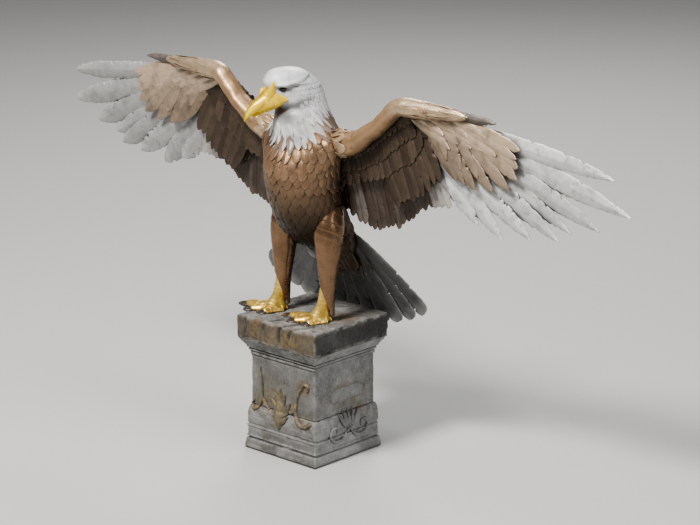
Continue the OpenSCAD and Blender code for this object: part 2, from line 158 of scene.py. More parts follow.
def noise(p, size, seed=0):
    """Smooth noise from -1 to 1 at points p, with lumps about size across."""
    q = np.asarray(p, float) / size + seed * 17.31
    cell = np.floor(q).astype(np.int64)
    f = smooth(q - cell)
    total = 0
    for corner in range(8):
        step = np.array([corner & 1, corner >> 1 & 1, corner >> 2 & 1])
        k = (cell + step) @ np.array([73856093, 19349663, 83492791]) + seed * 7919
        k = (k ^ (k >> 13)) * 1274126177 & 0x7FFFFFFF
        k = (k ^ (k >> 16)) * 668265263 & 0x7FFFFFFF
        w = np.prod(np.where(step, f, 1 - f), axis=-1)
        total = total + w * ((k & 0xFFFF) / 32767.5 - 1)
    return total


def rough(p, size, seed=0, octaves=3):
    return sum(noise(p, size / 2 ** k, seed + k) / 2 ** k for k in range(octaves))


# ---------------------------------------------------------------- closed shells


class Shells:
    """Closed shells in millimetres. tags are (across, along, random); spans are mm across and along."""

    def __init__(self, seed=0):
        self.points, self.quads, self.tris, self.tags, self.spans = [], [], [], [], []
        self.count = 0
        self.rng = np.random.default_rng(seed)

    def add(self, points, quads, tris, tags, spans=None):
        points = points.reshape(-1, 3)
        three = np.concatenate([quads[:, [0, 1, 2]], quads[:, [0, 2, 3]], tris])
        a, b, c = (points[three[:, k]] - points[0] for k in range(3))
        if np.sum(a * np.cross(b, c)) < 0:
            quads, tris = quads[:, ::-1], tris[:, ::-1]
        self.points.append(points)
        self.quads.append(quads + self.count)
        self.tris.append(tris + self.count)
        self.tags.append(tags.reshape(-1, 3))
        self.spans.append(np.zeros_like(points) if spans is None else spans.reshape(-1, 3))
        self.count += len(points)

    def make(self, name, material, slot, *nodes):
        mesh = bpy.data.meshes.new(name)
        faces = np.concatenate(self.quads).tolist() + np.concatenate(self.tris).tolist()
        mesh.from_pydata((np.concatenate(self.points) * 0.001).tolist(), [], faces)
        for layer, values in (("tag", self.tags), ("span", self.spans)):
            attribute = mesh.attributes.new(layer, "FLOAT_VECTOR", "POINT")
            attribute.data.foreach_set("vector", np.concatenate(values).astype(np.float32).ravel())
        mesh.shade_smooth()
        mesh.materials.append(material)
        piece = bpy.data.objects.new(name, mesh)
        scene.collection.objects.link(piece)
        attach(piece, "root")
        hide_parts(*nodes)


def tube_faces(rings, sides):
    """Faces of a tube of rings, with a point past each end that closes it."""
    i, j = np.meshgrid(np.arange(rings - 1), np.arange(sides), indexing="ij")
    k = (j + 1) % sides
    quads = np.stack([i * sides + j, (i + 1) * sides + j, (i + 1) * sides + k, i * sides + k], -1)
    j = np.arange(sides)
    k = (j + 1) % sides
    first, last = rings * sides, rings * sides + 1
    end = (rings - 1) * sides
    tris = np.concatenate([np.stack([np.full(sides, first), j, k], -1),
                           np.stack([np.full(sides, last), end + k, end + j], -1)])
    return quads.reshape(-1, 4), tris


def loft(shells, surface, t0=0.0, t1=1.0, rings=40, sides=40, tag=(0, 0.3, 0.5)):
    """Closes a surface of t and angle into a shell. tag is a constant or a function of t and angle."""
    t, a = np.meshgrid(np.linspace(t0, t1, rings), np.arange(sides) * 2 * pi / sides, indexing="ij")
    grid = surface(t, a)
    points = np.concatenate([grid.reshape(-1, 3), grid[0].mean(0)[None], grid[-1].mean(0)[None]])
    quads, tris = tube_faces(rings, sides)
    if callable(tag):
        marks = np.stack(np.broadcast_arrays(*tag(t, a)), -1)
        tags = np.concatenate([marks.reshape(-1, 3), marks[0, :1], marks[-1, :1]])
    else:
        tags = np.broadcast_to(np.asarray(tag, float), points.shape).copy()
    shells.add(points, quads, tris, tags)


def sheet_faces(nv, nu):
    """Faces of a thin shell: a front grid, a back grid and the rim between them."""
    i, j = np.meshgrid(np.arange(nv - 1), np.arange(nu - 1), indexing="ij")
    front = np.stack([i * nu + j, (i + 1) * nu + j, (i + 1) * nu + j + 1, i * nu + j + 1], -1)
    front = front.reshape(-1, 4)
    loop = [(0, j) for j in range(nu - 1)] + [(i, nu - 1) for i in range(nv - 1)]
    loop += [(nv - 1, j) for j in range(nu - 1, 0, -1)] + [(i, 0) for i in range(nv - 1, 0, -1)]
    a = np.array([i * nu + j for i, j in loop])
    b = np.roll(a, -1)
    back = nv * nu
    return np.concatenate([front, front[:, ::-1] + back, np.stack([a, b, b + back, a + back], -1)])


FACE_CACHE = {}


def blade(shells, root, tip, width, thick=1.0, face=(0, -1, 0), bow=0.0, sweep=0.0, twist=0.0, nu=7, nv=12,
          root_share=0.6, tip_from=0.6, tip_power=0.5, camber=0.5, quill=0.3, quill_at=0.0, slits=0,
          slit_wide=0.8, ragged=0.0, ripple=0.0, tone=None):
    """One feather: a cambered vane about a raised shaft, thin at its edges, split where slits fall.
    tone, from 0 to 1, picks its paint; without one it is drawn at random."""
    rng = shells.rng
    root, tip = np.asarray(root, float), np.asarray(tip, float)
    length = float(np.linalg.norm(tip - root))
    d = (tip - root) / length
    b0 = unit(np.cross(face, d))
    n0 = np.cross(d, b0)
    turn = radians(twist)
    b = b0 * cos(turn) + n0 * sin(turn)
    n = np.cross(d, b)
    s = (1 - (1 - np.linspace(0, 1, nv)) ** 1.2)[:, None]
    c = np.linspace(-1, 1, nu)[None, :]
    shape = np.where(s < 0.3, root_share + (1 - root_share) * np.sin(np.minimum(s, 0.3) * pi / 0.6), 1.0)
    x = np.clip((s - tip_from) / (1 - tip_from), 0, 1)
    shape = shape * np.maximum((1 - x ** 2) ** tip_power, 0.07)
    half = width / 2 * shape * np.ones_like(c)
    for _ in range(slits):
        at, hand = rng.uniform(0.25, 0.95), rng.choice([-1, 1])
        gap = bell((s - at) * length, slit_wide * rng.uniform(0.75, 1.35))
        half = half * (1 - rng.uniform(0.18, 0.5) * gap * np.clip(c * hand, 0, 1) ** 2)
    if ragged:
        spots = np.stack([s[:, 0] * length, c[0, 0] + 0 * s[:, 0], 0 * s[:, 0]], -1)
        wave = noise(spots, 2.4, int(rng.integers(99)))
        half = half * (1 + ragged * wave[:, None] * np.abs(c) ** 3)
    across = c * half
    over = thick * (1 - 0.5 * s) * (0.22 + 0.55 * (1 - np.abs(c) ** 1.6))
    over = over + quill * (1 - 0.7 * s) * bell((c - quill_at) * half, 0.75)
    under = thick * (1 - 0.5 * s) * 0.3 * (1 - 0.6 * np.abs(c))
    fall = -camber * c ** 2 * shape
    if ripple:
        wave = np.sin(s * length / 1.1 - np.abs(across) * 0.9 + rng.uniform(0, 6))
        fall = fall + ripple * wave * np.abs(c)
    centre = root + d * (length * s[..., None]) + n0 * (bow * np.sin(pi * s))[..., None]
    centre = centre + b * (sweep * np.sin(pi * s))[..., None]
    base = centre + b * across[..., None] + n * fall[..., None]
    points = np.concatenate([(base + n * over[..., None]).reshape(-1, 3),
                             (base - n * under[..., None]).reshape(-1, 3)])
    key = (nv, nu)
    if key not in FACE_CACHE:
        FACE_CACHE[key] = sheet_faces(nv, nu)
    chance = rng.uniform() if tone is None else tone
    tags = np.stack([c + 0 * s, s + 0 * c, np.full_like(half, chance)], -1)
    spans = np.stack([across, s * length + 0 * c, 0 * half], -1)
    shells.add(points, FACE_CACHE[key], np.zeros((0, 3), int),
               np.concatenate([tags, tags]), np.concatenate([spans, spans]))


def limb_surface(path, side):
    """A tube round path rows of [x, y, z, radius across side, other radius]."""
    path, side = np.asarray(path, float), np.asarray(side, float)

    def at(t, a):
        p = along(path, t)
        d = heading(path, t)
        b = unit(side - (d @ side)[..., None] * d)
        n = np.cross(d, b)
        return p[..., :3] + b * (p[..., 3] * np.cos(a))[..., None] + n * (p[..., 4] * np.sin(a))[..., None]
    return at


def on_perch(points, side=1):
    points = np.array(points, float)
    points[..., 0] *= side
    points[..., 2] += PERCH
    return points


def normal_at(surface, t, a):
    e = 0.004
    u = surface(t + e, a) - surface(t - e, a)
    v = surface(t, a + e * 4) - surface(t, a - e * 4)
    return unit(np.cross(v, u))


def plumage(shells, surface, places, length, width, lift=0.7, hang=1, keep=None, inside=None, vary=0.1,
            shift=None, tone=None, **shape):
    """Overlapping body feathers in staggered rows at places along t, facing away from the point inside.
    They hang towards t falling (hang=1) or rising (-1); shift moves a row by a function of the angle."""
    rng = shells.rng

    def size(value, share):
        return mix(*value, share) if isinstance(value, tuple) else value

    for k, place in enumerate(places):
        share = k / max(len(places) - 1, 1)
        ring = surface(np.full(49, place), np.linspace(0, 2 * pi, 49))
        round_mm = np.linalg.norm(np.diff(ring, axis=0), axis=1)
        total = round_mm.sum()
        w, l = size(width, share), size(length, share)
        count = max(int(total / (w * 0.74)), 6)
        spots = (np.arange(count) + 0.5 * (k % 2) + rng.uniform(-0.12, 0.12, count)) / count * total
        walked_round = np.concatenate([[0], np.cumsum(round_mm)])
        for a in np.interp(spots, walked_round, np.linspace(0, 2 * pi, 49)):
            t = place + (shift(a) if shift else 0)
            p = surface(np.array(t), np.array(a))
            if keep is not None and not keep(p, a):
                continue
            ahead = np.clip(t - hang * np.linspace(0, 0.4, 41), 0.002, 0.998)
            walked = np.cumsum(np.linalg.norm(np.diff(surface(ahead, np.full(41, a)), axis=0), axis=1))
            end_t = np.interp(l * rng.uniform(1 - vary, 1 + vary), walked, ahead[1:])
            n = normal_at(surface, np.array(t), np.array(a))
            if inside is not None and np.dot(n, p - inside) < 0:
                n = -n
            q = surface(np.array(end_t), np.array(a + rng.uniform(-0.03, 0.03)))
            m = normal_at(surface, np.array(end_t), np.array(a))
            m = m if np.dot(m, n) > 0 else -m
            sunk = 0.15 + 0.8 * shape.get("thick", 1.0)
            face = unit(n + m)
            swell = np.dot(surface(np.array((t + end_t) / 2), np.array(a)) - (p + q) / 2, face)
            blade(shells, p - n * sunk, q + m * size(lift, share), w * rng.uniform(0.92, 1.1),
                  face=face, bow=0.1 + 0.35 * sunk + swell, tone=tone(q, a) if callable(tone) else tone,
                  **shape)


# ---------------------------------------------------------------- materials


class Graph:
    """A short way to write a node material."""

    def __init__(self, name):
        self.material = bpy.data.materials.new(name)
        self.material.use_nodes = True
        self.tree = self.material.node_tree
        self.shader = self.tree.nodes["Principled BSDF"]

    def put(self, socket, value):
        if isinstance(value, bpy.types.NodeSocket):
            self.tree.links.new(value, socket)
        elif isinstance(value, tuple) and len(value) == 3 and socket.type == "RGBA":
            socket.default_value = (*value, 1)
        else:
            socket.default_value = value

    def node(self, kind, out=0, settings=(), **inputs):
        node = self.tree.nodes.new("ShaderNode" + kind)
        for key, value in settings:
            setattr(node, key, value)
        for key, value in inputs.items():
            self.put(node.inputs[int(key[1:]) if key[0] == "_" else key.replace("_", " ")], value)
        return node.outputs[out]

    def math(self, operation, a, b=0.0, clamp=False):
        return self.node("Math", settings=[("operation", operation), ("use_clamp", clamp)], _0=a, _1=b)

    def times(self, a, b, clamp=False):
        return self.math("MULTIPLY", a, b, clamp)

    def plus(self, a, b):
        return self.math("ADD", a, b)

    def minus(self, a, b, clamp=False):
        return self.math("SUBTRACT", a, b, clamp)

    def split(self, vector):
        """The three parts of a vector."""
        node = self.tree.nodes.new("ShaderNodeSeparateXYZ")
        self.put(node.inputs[0], vector)
        return node.outputs

    def layer(self, name):
        """The three parts of a stored vector layer."""
        return self.split(self.node("Attribute", 1, [("attribute_name", name)]))

    def place(self, scale=(1, 1, 1)):
        """Object coordinates in millimetres, stretched by scale."""
        spot = self.node("TexCoord", 3)
        return self.node("VectorMath", settings=[("operation", "MULTIPLY")], _0=spot,
                         _1=tuple(1000 * k for k in scale))

    def noise(self, size, detail=3.0, vector=None, rough=0.55, distortion=0.0):
        return self.node("TexNoise", 0, Vector=vector or self.place(), Scale=1 / size, Detail=detail,
                         Roughness=rough, Distortion=distortion)

    def ramp(self, value, *stops):
        node = self.tree.nodes.new("ShaderNodeValToRGB")
        self.put(node.inputs[0], value)
        elements = node.color_ramp.elements
        while len(elements) < len(stops):
            elements.new(0.5)
        for element, (spot, colour) in zip(elements, stops):
            element.position = spot
            element.color = (*colour, 1) if isinstance(colour, tuple) else (colour, colour, colour, 1)
        return node.outputs[0]

    def blend(self, share, a, b, how="MIX"):
        node = self.tree.nodes.new("ShaderNodeMix")
        node.data_type = "RGBA"
        node.blend_type = how
        node.clamp_factor = True
        self.put(node.inputs[0], share)
        self.put(node.inputs[6], a)
        self.put(node.inputs[7], b)
        return node.outputs[2]

    def dim(self, colour, tone):
        """The colour times a grey tone."""
        return self.blend(1.0, colour, self.node("CombineXYZ", _0=tone, _1=tone, _2=tone), "MULTIPLY")

    def recess_shade_and_grime(self, reach_mm, low=0.25, high=0.85):
        """How shut-in the surface is within reach, for painting shade and grime into recesses: 1 deep in a
        recess, 0 in the open.
        """
        node = self.tree.nodes.new("ShaderNodeAmbientOcclusion")
        node.samples = 8
        node.inputs["Distance"].default_value = reach_mm * 0.001
        return self.ramp(node.outputs["AO"], (low, 1.0), (high, 0.0))

    def bump(self, height, depth_mm, strength):
        return self.node("Bump", Height=height, Distance=depth_mm * 0.001, Strength=strength)

    def finish(self, **sockets):
        for key, value in sockets.items():
            self.put(self.shader.inputs[key.replace("_", " ")], value)
        return self.material


def feather_material(name, deep, mid, tip, metallic, rough_low, rough_high, contrast=0.35, barb=0.35,
                     worn=None, shade=None, outer=None, reach=5.0, recess_grime_and_shade=None, grain=0.8):
    """Painted or patinated feathers: the deep colour at the root is painted shade where other feathers cover
    it, and the lighter tip and edges are painted highlight; with barbs beside the shaft.
    shade is (low, high, factor), which darkens what is low; outer is the colour of feathers of tone 1."""
    g = Graph(name)
    across, share, chance = g.layer("tag")
    x, y, _ = g.layer("span")
    # Painted shade at the root, where other feathers cover it; painted highlight at the tip and along the
    # edges.
    colour = g.ramp(share, (0.0, deep), (0.38, mid), (0.86, mid), (1.0, tip))
    edge = g.math("POWER", g.math("ABSOLUTE", across), 3.0)
    colour = g.blend(g.times(edge, 0.45), colour, tip)
    if outer:
        colour = g.blend(chance, colour, outer)
    spot = g.node("CombineXYZ", _0=g.times(x, 1.6), _1=g.times(y, 0.28), _2=g.times(chance, 40))
    streak = g.noise(1.0, 3, spot)
    tone = g.plus(g.times(streak, contrast), g.times(chance, contrast))
    tone = g.plus(tone, 1.0 - contrast * 0.95)
    if shade:
        low, high, factor = shade
        rise = g.math("DIVIDE", g.minus(g.split(g.place())[2], low), high - low, clamp=True)
        rise = g.math("POWER", rise, 1.9)
        tone = g.times(tone, g.plus(g.times(rise, 1.0 - factor), factor))
    colour = g.dim(colour, tone)
    grime = g.noise(9.0, 4)
    colour = g.blend(g.ramp(grime, (0.46, 0.0), (0.72, 0.45)), colour, deep)
    if worn:
        colour = g.blend(g.ramp(g.noise(6.0, 5, rough=0.7), (0.56, 0.0), (0.66, 0.75)), colour, worn)
    # Patina and painted shade: shut-in places turn towards the dark recess colour.
    if reach:
        colour = g.blend(g.times(g.recess_shade_and_grime(reach), 0.85), colour, recess_grime_and_shade or tuple(0.5 * k for k in deep))
    shaft = g.minus(1.0, g.times(g.math("ABSOLUTE", x), 1.7), clamp=True)
    phase = g.minus(g.times(y, 5.2), g.times(g.math("ABSOLUTE", x), 5.6))
    barbs = g.math("SINE", g.plus(phase, g.times(g.noise(4.0, 2), 9.0)))
    height = g.plus(g.times(barbs, barb), g.times(g.noise(0.9, 3), grain))
    height = g.plus(height, shaft)
    rough_map = g.ramp(g.noise(3.0, 3), (0.3, rough_low), (0.7, rough_high))
    return g.finish(Base_Color=colour, Metallic=metallic, Roughness=rough_map,
                    Normal=g.bump(height, 0.16, 0.6))


def stone_material(name, dark, mid, pale, stain_front, painted_face_light, recess_dirt_and_shade=(0.05, 0.045, 0.04)):
    """Weathered stone: mottled grey, pitted, darker in its cracks and hollows from dirt and painted shade,
    with brown runs down the front face.
    The last tones given, for its front, left and upper faces, are painted light and shade."""
    g = Graph(name)
    groove, rub_and_highlight, patch = g.layer("tag")
    colour = g.ramp(g.noise(22.0, 6, rough=0.62), (0.34, dark), (0.5, mid), (0.68, pale))
    colour = g.blend(g.ramp(g.noise(3.2, 5, rough=0.7), (0.42, 0.0), (0.78, 0.5)), colour, dark)
    colour = g.blend(g.ramp(g.noise(1.1, 3), (0.35, 0.35), (0.6, 0.0)), colour, pale)
    runs = g.noise(4.6, 4, g.place((1, 1, 0.13)), distortion=0.4)
    normal = g.split(g.node("NewGeometry", 1))
    facing = g.times(normal[1], -1.0, clamp=True)
    # Painted light: each face is made lighter or darker by the way the lamps fall on it.
    tone = 1.0
    for axis, sign, factor in zip((1, 0, 2), (-1.0, 1.0, 1.0), painted_face_light):
        share = g.times(normal[axis], sign, clamp=True)
        tone = g.times(tone, g.plus(g.times(share, factor - 1.0), 1.0))
    colour = g.dim(colour, tone)
    mask = g.times(g.ramp(runs, (0.4, 0.0), (0.68, 0.9)), g.times(facing, stain_front))
    colour = g.blend(mask, colour,
                     g.ramp(g.noise(7.0, 3), (0.35, (0.1, 0.072, 0.043)), (0.7, (0.2, 0.145, 0.085))))
    colour = g.blend(g.times(patch, g.ramp(g.noise(5.0, 4), (0.3, 0.35), (0.6, 0.95))), colour,
                     g.ramp(g.noise(3.0, 3), (0.35, (0.075, 0.056, 0.034)), (0.68, (0.21, 0.15, 0.065))))
    lichen = g.ramp(g.noise(13.0, 6, rough=0.75), (0.6, 0.0), (0.72, 0.4))
    colour = g.blend(lichen, colour, (0.25, 0.235, 0.2))
    # Pale edges, from wear and a painted highlight.
    colour = g.blend(g.times(rub_and_highlight, 0.6), colour, pale)
    # Dirt and painted shade: recesses and cracks take the dark recess colour.
    colour = g.blend(g.times(g.recess_shade_and_grime(5.0), 0.8), colour, recess_dirt_and_shade)
    colour = g.blend(groove, colour, recess_dirt_and_shade)
    height = g.plus(g.times(g.noise(1.3, 5, rough=0.7), 1.0), g.noise(6.0, 4))
    return g.finish(Base_Color=colour, Roughness=g.ramp(g.noise(5.0, 3), (0.3, 0.62), (0.7, 0.88)),
                    Normal=g.bump(height, 0.5, 0.7))


def metal_material(name, low, mid, high, metallic, rough_low, rough_high, size=4.0, depth=0.25, spots=None):
    """Mottled metal, paint or cloth: rubbed bright on its ridges and given painted highlights where its tags
    ask, dark in its grooves, with worn spots.
    """
    g = Graph(name)
    groove, rub_and_highlight, _ = g.layer("tag")
    colour = g.ramp(g.noise(size, 4, rough=0.6), (0.3, low), (0.52, mid), (0.74, high))
    # Rubbed wear and painted highlight: the tag lightens towards the high colour.
    colour = g.blend(g.times(rub_and_highlight, 0.6), colour, high)
    if spots:
        colour = g.blend(g.ramp(g.noise(size * 0.6, 5, rough=0.72), (0.47, 0.0), (0.6, 0.85)), colour, spots)
    colour = g.blend(groove, colour, tuple(0.35 * k for k in low))
    height = g.noise(0.9, 4)
    return g.finish(Base_Color=colour, Metallic=metallic, Normal=g.bump(height, depth, 0.5),
                    Roughness=g.ramp(g.noise(size * 0.8, 3), (0.3, rough_low), (0.7, rough_high)))


# The last three numbers of each stone are painted light and shade for its front, left and upper faces.
STONE_CAP = stone_material(
    "cap_stone", (0.04, 0.039, 0.038), (0.115, 0.113, 0.11), (0.27, 0.262, 0.248), 0.9, (0.5, 0.42, 1.4))
STONE = stone_material(
    "shaft_stone", (0.085, 0.085, 0.082), (0.165, 0.165, 0.16), (0.31, 0.31, 0.3), 0.2, (0.82, 1.24, 1.0))
GILT = metal_material(
    "worn_gilding", (0.085, 0.07, 0.048), (0.15, 0.122, 0.078), (0.4, 0.3, 0.13), 0.3, 0.45, 0.7, 5.0,
    0.3, spots=(0.16, 0.152, 0.138))
BRONZE = feather_material(
    "chest_bronze", (0.05, 0.028, 0.015), (0.3, 0.19, 0.115), (0.36, 0.245, 0.16),
    0.6, 0.3, 0.44, 0.2, 0.2, shade=(162, 218, 0.03), reach=3.0)
THIGH = feather_material(
    "thigh_bronze", (0.08, 0.045, 0.025), (0.22, 0.132, 0.077), (0.26, 0.16, 0.098), 0.72, 0.2, 0.32,
    0.12, 0.04, reach=0, grain=0.05)
ARM = feather_material(
    "arm_bronze", (0.22, 0.13, 0.075), (0.4, 0.26, 0.145), (0.44, 0.29, 0.17),
    0.55, 0.32, 0.46, 0.12, 0.12, worn=(0.22, 0.125, 0.08), outer=(0.5, 0.39, 0.27), grain=0.4)
COVERT = feather_material(
    "covert_brown", (0.026, 0.017, 0.011), (0.07, 0.047, 0.033), (0.1, 0.069, 0.048),
    0.45, 0.38, 0.54, 0.4, 0.35, outer=(0.46, 0.36, 0.265), reach=3.5)
SECONDARY = feather_material(
    "secondary_brown", (0.03, 0.02, 0.014), (0.072, 0.047, 0.032), (0.12, 0.088, 0.064),
    0.45, 0.4, 0.56, 0.55, 0.4, outer=(0.42, 0.4, 0.38), reach=7.0)
FLIGHT = feather_material(
    "flight_grey", (0.2, 0.195, 0.19), (0.6, 0.6, 0.59), (0.66, 0.66, 0.65),
    0.1, 0.38, 0.55, 0.3, 0.4, worn=(0.3, 0.3, 0.295), reach=9.0)
# A shaded copy of the primaries' grey paint for the far wing: its darker grey is painted shade.
SHADED_FLIGHT = feather_material(
    "flight_grey_shaded", (0.14, 0.135, 0.13), (0.34, 0.34, 0.335), (0.44, 0.44, 0.44),
    0.15, 0.4, 0.56, 0.25, 0.4, worn=(0.22, 0.22, 0.22), reach=7.0)
TAIL = feather_material(
    "tail_grey", (0.025, 0.024, 0.024), (0.085, 0.085, 0.085), (0.25, 0.25, 0.25),
    0.4, 0.34, 0.5, 0.5, 0.4, reach=9.0)
RUMP_BROWN = feather_material(
    "rump_brown", (0.022, 0.014, 0.01), (0.075, 0.052, 0.038), (0.13, 0.1, 0.08),
    0.6, 0.32, 0.48, 0.35, 0.3, reach=8.0)
# The white paint's slate root and recess colours are painted shade.
WHITE = feather_material(
    "white_paint", (0.09, 0.093, 0.1), (0.62, 0.625, 0.63), (0.78, 0.78, 0.77),
    0.0, 0.34, 0.48, 0.1, 0.3, outer=(0.2, 0.14, 0.1), reach=3.0, recess_grime_and_shade=(0.1, 0.1, 0.105))
BEAK = metal_material(
    "beak_gold", (0.5, 0.27, 0.01), (0.76, 0.52, 0.035), (0.88, 0.66, 0.09), 0.1, 0.26, 0.4, 5.0, 0.1)
FOOT = metal_material(
    "foot_gold", (0.42, 0.24, 0.05), (0.7, 0.47, 0.11), (0.92, 0.72, 0.27), 0.7, 0.3, 0.42, 5.0, 0.03)
TALON = metal_material(
    "talon_grey", (0.03, 0.027, 0.024), (0.075, 0.067, 0.058), (0.2, 0.17, 0.14), 0.5, 0.28, 0.45, 2.0, 0.15)
EYE_PAINT = metal_material(
    "eye_paint", (0.02, 0.014, 0.008), (0.03, 0.02, 0.012), (0.08, 0.045, 0.015), 0.0, 0.08, 0.12, 2.0, 0.02)
FELT_CLOTH = metal_material(
    "felt", (0.02, 0.024, 0.02), (0.03, 0.035, 0.03), (0.045, 0.05, 0.045), 0.0, 0.9, 0.98, 0.6, 0.25)
STEEL = metal_material(
    "plain_steel", (0.42, 0.42, 0.43), (0.55, 0.55, 0.56), (0.66, 0.66, 0.67), 1.0, 0.3, 0.45)

# ---------------------------------------------------------------- pedestal

SIDE_STEPS = 96
STEP = 0.85
CORE = 0.4


def square_ring(w, z, corner=0.8):
    """Points round a square of half-width w with slightly round corners, and their outward directions."""
    u = np.linspace(-1, 1, SIDE_STEPS, endpoint=False)
    parts = []
    for k in range(4):
        c, s = round(cos(k * pi / 2)), round(sin(k * pi / 2))
        x, y = u * w, np.full_like(u, -w)
        parts.append(np.stack([c * x - s * y, s * x + c * y], -1))
    ring = np.concatenate(parts)
    r = min(corner, w * 0.5)
    core = np.clip(ring, -(w - r), w - r)
    out = unit(ring - core) if w > 0.5 else unit(ring)
    return np.concatenate([core + out * r, np.full((len(ring), 1), z)], -1), out


def stone_block(name, material, slot, profile, seed, grain=0.16, chip=0.9, cracks=(), patches=()):
    """A weathered square block from its profile of [half-width, height]: rough faces and chipped edges.
    cracks are (path, width, depth); patches are (centre, size) of brown stains."""
    rows, edges = [], []
    profile = [(CORE, profile[0][1]), *profile, (CORE, profile[-1][1])]
    profile = [np.array(p, float) for p in profile]
    for k, (a, b) in enumerate(zip(profile, profile[1:])):
        count = max(int(ceil(np.linalg.norm(b - a) / STEP)), 1)
        for i in range(count):
            rows.append(mix(a, b, i / count))
            edges.append(min(i, count - i) * STEP if 0 < k < len(profile) - 2 or i else 0.0)
    rows.append(profile[-1])
    edges.append(0.0)
    rows = np.array(rows)
    rise = unit(np.gradient(rows, axis=0))
    rings, outs = zip(*[square_ring(w, z) for w, z in rows])
    points, outs = np.array(rings), np.array(outs)
    level = np.broadcast_to(-rise[:, None, 0:1], (*outs.shape[:2], 1))
    normal = unit(np.concatenate([outs * rise[:, None, 1:2], level], -1))
    corner = np.sort(np.abs(points[..., :2]), -1)
    corner = corner[..., 1] - corner[..., 0]
    edge = np.minimum(np.array(edges)[:, None] + 0 * corner, np.where(rows[:, None, 0] > 5, corner, 9))
    push = grain * rough(points, 2.6, seed) + 0.3 * grain * rough(points, 9.0, seed + 5)
    bite = smooth((rough(points, 5.5, seed + 9) - 0.25) / 0.6) * bell(edge, 1.6)
    push = push - chip * bite - 0.25 * bell(edge, 0.9)
    groove = np.zeros(corner.shape)
    for path, wide, deep in cracks:
        path = np.array(path, float)
        best = np.full(corner.shape, 99.0)
        for a, b in zip(path, path[1:]):
            span = b - a
            t = np.clip(((points - a) @ span) / (span @ span), 0, 1)
            best = np.minimum(best, np.linalg.norm(points - a - t[..., None] * span, axis=-1))
        mark = bell(best, wide)
        push = push - deep * mark
        groove = np.maximum(groove, mark)
    flat_base = rows[:, 1] <= rows[:, 1].min() + 1e-6
    push[flat_base] = 0
    points = points + normal * push[..., None]
    stain = np.zeros(corner.shape)
    for centre, size in patches:
        stain = np.maximum(stain, np.exp(-np.sum(((points - centre) / np.array(size)) ** 2, -1)))
    # Tags: cracks darkened by dirt and painted shade, edges paled by wear and a painted highlight, and brown
    # stains.
    tags = np.stack([groove, bell(edge, 1.3) * smooth(0.5 + rough(points, 4, seed + 3)), stain], -1)
    shells = Shells(seed)
    count = points.shape[1]
    quads, tris = tube_faces(len(points), count)
    ends = np.array([points[0].mean(0), points[-1].mean(0)])
    shells.add(np.concatenate([points.reshape(-1, 3), ends]), quads, tris,
               np.concatenate([tags.reshape(-1, 3), np.zeros((2, 3))]))
    shells.make(name + "_stone", material, slot, name)


BEVEL = 1.0
FRONT = -CAP_W
CRACKS = [
    ([[12, -22, PERCH], [11, -32, PERCH], [8, -38, PERCH], [4, FRONT, PERCH - 3], [3, FRONT, PERCH - 9],
      [3.4, FRONT, PERCH - 13]], 1.15, 1.9),
    ([[25, -24, PERCH], [23, -33, PERCH], [19, -38, PERCH], [15, FRONT, PERCH - 2.5],
      [13.4, FRONT, PERCH - 8]], 1.0, 1.6),
    ([[-4, -27, PERCH], [-8, -36, PERCH], [-12, FRONT, PERCH - 3], [-12.6, FRONT, PERCH - 7]], 0.8, 1.2),
    ([[-31, FRONT, PERCH - 2], [-30, FRONT, PERCH - 8], [-32, FRONT, PERCH - 14]], 0.7, 0.9),
    ([[CAP_W, -12, PERCH - 1], [CAP_W, -9, PERCH - 8], [CAP_W, -11, PERCH - 12]], 0.5, 0.7),
    ([[-18, 12, PERCH], [-4, 18, PERCH], [8, 30, PERCH], [14, CAP_W, PERCH - 3]], 0.5, 0.6),
]
CAP_STAINS = [((12, FRONT, PERCH - 9), (22, 6, 12)), ((-22, FRONT, PERCH - 6), (8, 5, 8)),
              ((26, 8, PERCH), (10, 14, 5))]
STAINS = [((-8, -SHAFT_W, 40), (12, 5, 15)), ((-26, -SHAFT_W, 37), (9, 5, 6)),
          ((20, -SHAFT_W, 58), (7, 4, 6)), ((24, -SHAFT_W, 32), (9, 5, 5)),
          ((SHAFT_W, 0, 50), (4, 18, 8)), ((SHAFT_W, 14, 34), (5, 8, 6))]
LIP = CAP_W - 0.5
# Steps of the two mouldings, each as how far it stands out and its height.
NECK_STEPS = [(0.7, 0), (0.7, 2.1), (0.3, 2.3), (0.3, 2.7), (1.6, 2.9), (1.6, 4.7), (1.1, 4.9), (1.1, 5.3),
              (2.8, 5.5), (2.8, 6.9), (3.4, 7.3)]
PLINTH_STEPS = [(1.6, FELT), (1.6, 3.2), (0.6, 8.0), (-0.5, 8.3), (-0.5, 9.2), (0.5, 9.6), (0.5, 10.8),
                (-0.1, 11.2), (-0.1, 17.2), (0.5, 17.6), (0.5, 18.8), (-0.5, 19.1), (-0.5, 19.9), (0, 20.3)]
FLARE = 9.0
FLARE_Z = SHAFT_Z - FLARE

CAP = [(CAP_W - 0.6, CAP_Z), (CAP_W, CAP_Z + 0.7), (CAP_W, PERCH - BEVEL), (CAP_W - BEVEL, PERCH)]
NECK = [(SHAFT_W + out, SHAFT_TOP + up) for out, up in NECK_STEPS]
NECK += [(mix(SHAFT_W, LIP, 0.6), SHAFT_TOP + 8.7), (mix(SHAFT_W, LIP, 0.8), SHAFT_TOP + 10.4),
         (LIP - 0.7, CAP_Z - 1.1), (LIP, CAP_Z - 0.8), (LIP, CAP_Z)]
PLINTH = [(PLINTH_W + out, z) for out, z in PLINTH_STEPS] + [(PLINTH_W, FLARE_Z)]
PLINTH += [(mix(PLINTH_W, SHAFT_W, 1 - cos(a)), FLARE_Z + FLARE * sin(a))
           for a in np.radians(np.arange(15, 91, 15))]
stone_block("cap_slab", STONE_CAP, "stone_cap", CAP, 3, 0.2, 1.3, CRACKS, CAP_STAINS)
stone_block("neck_moulding", STONE, "stone_shaft", NECK, 11, 0.07, 0.4)
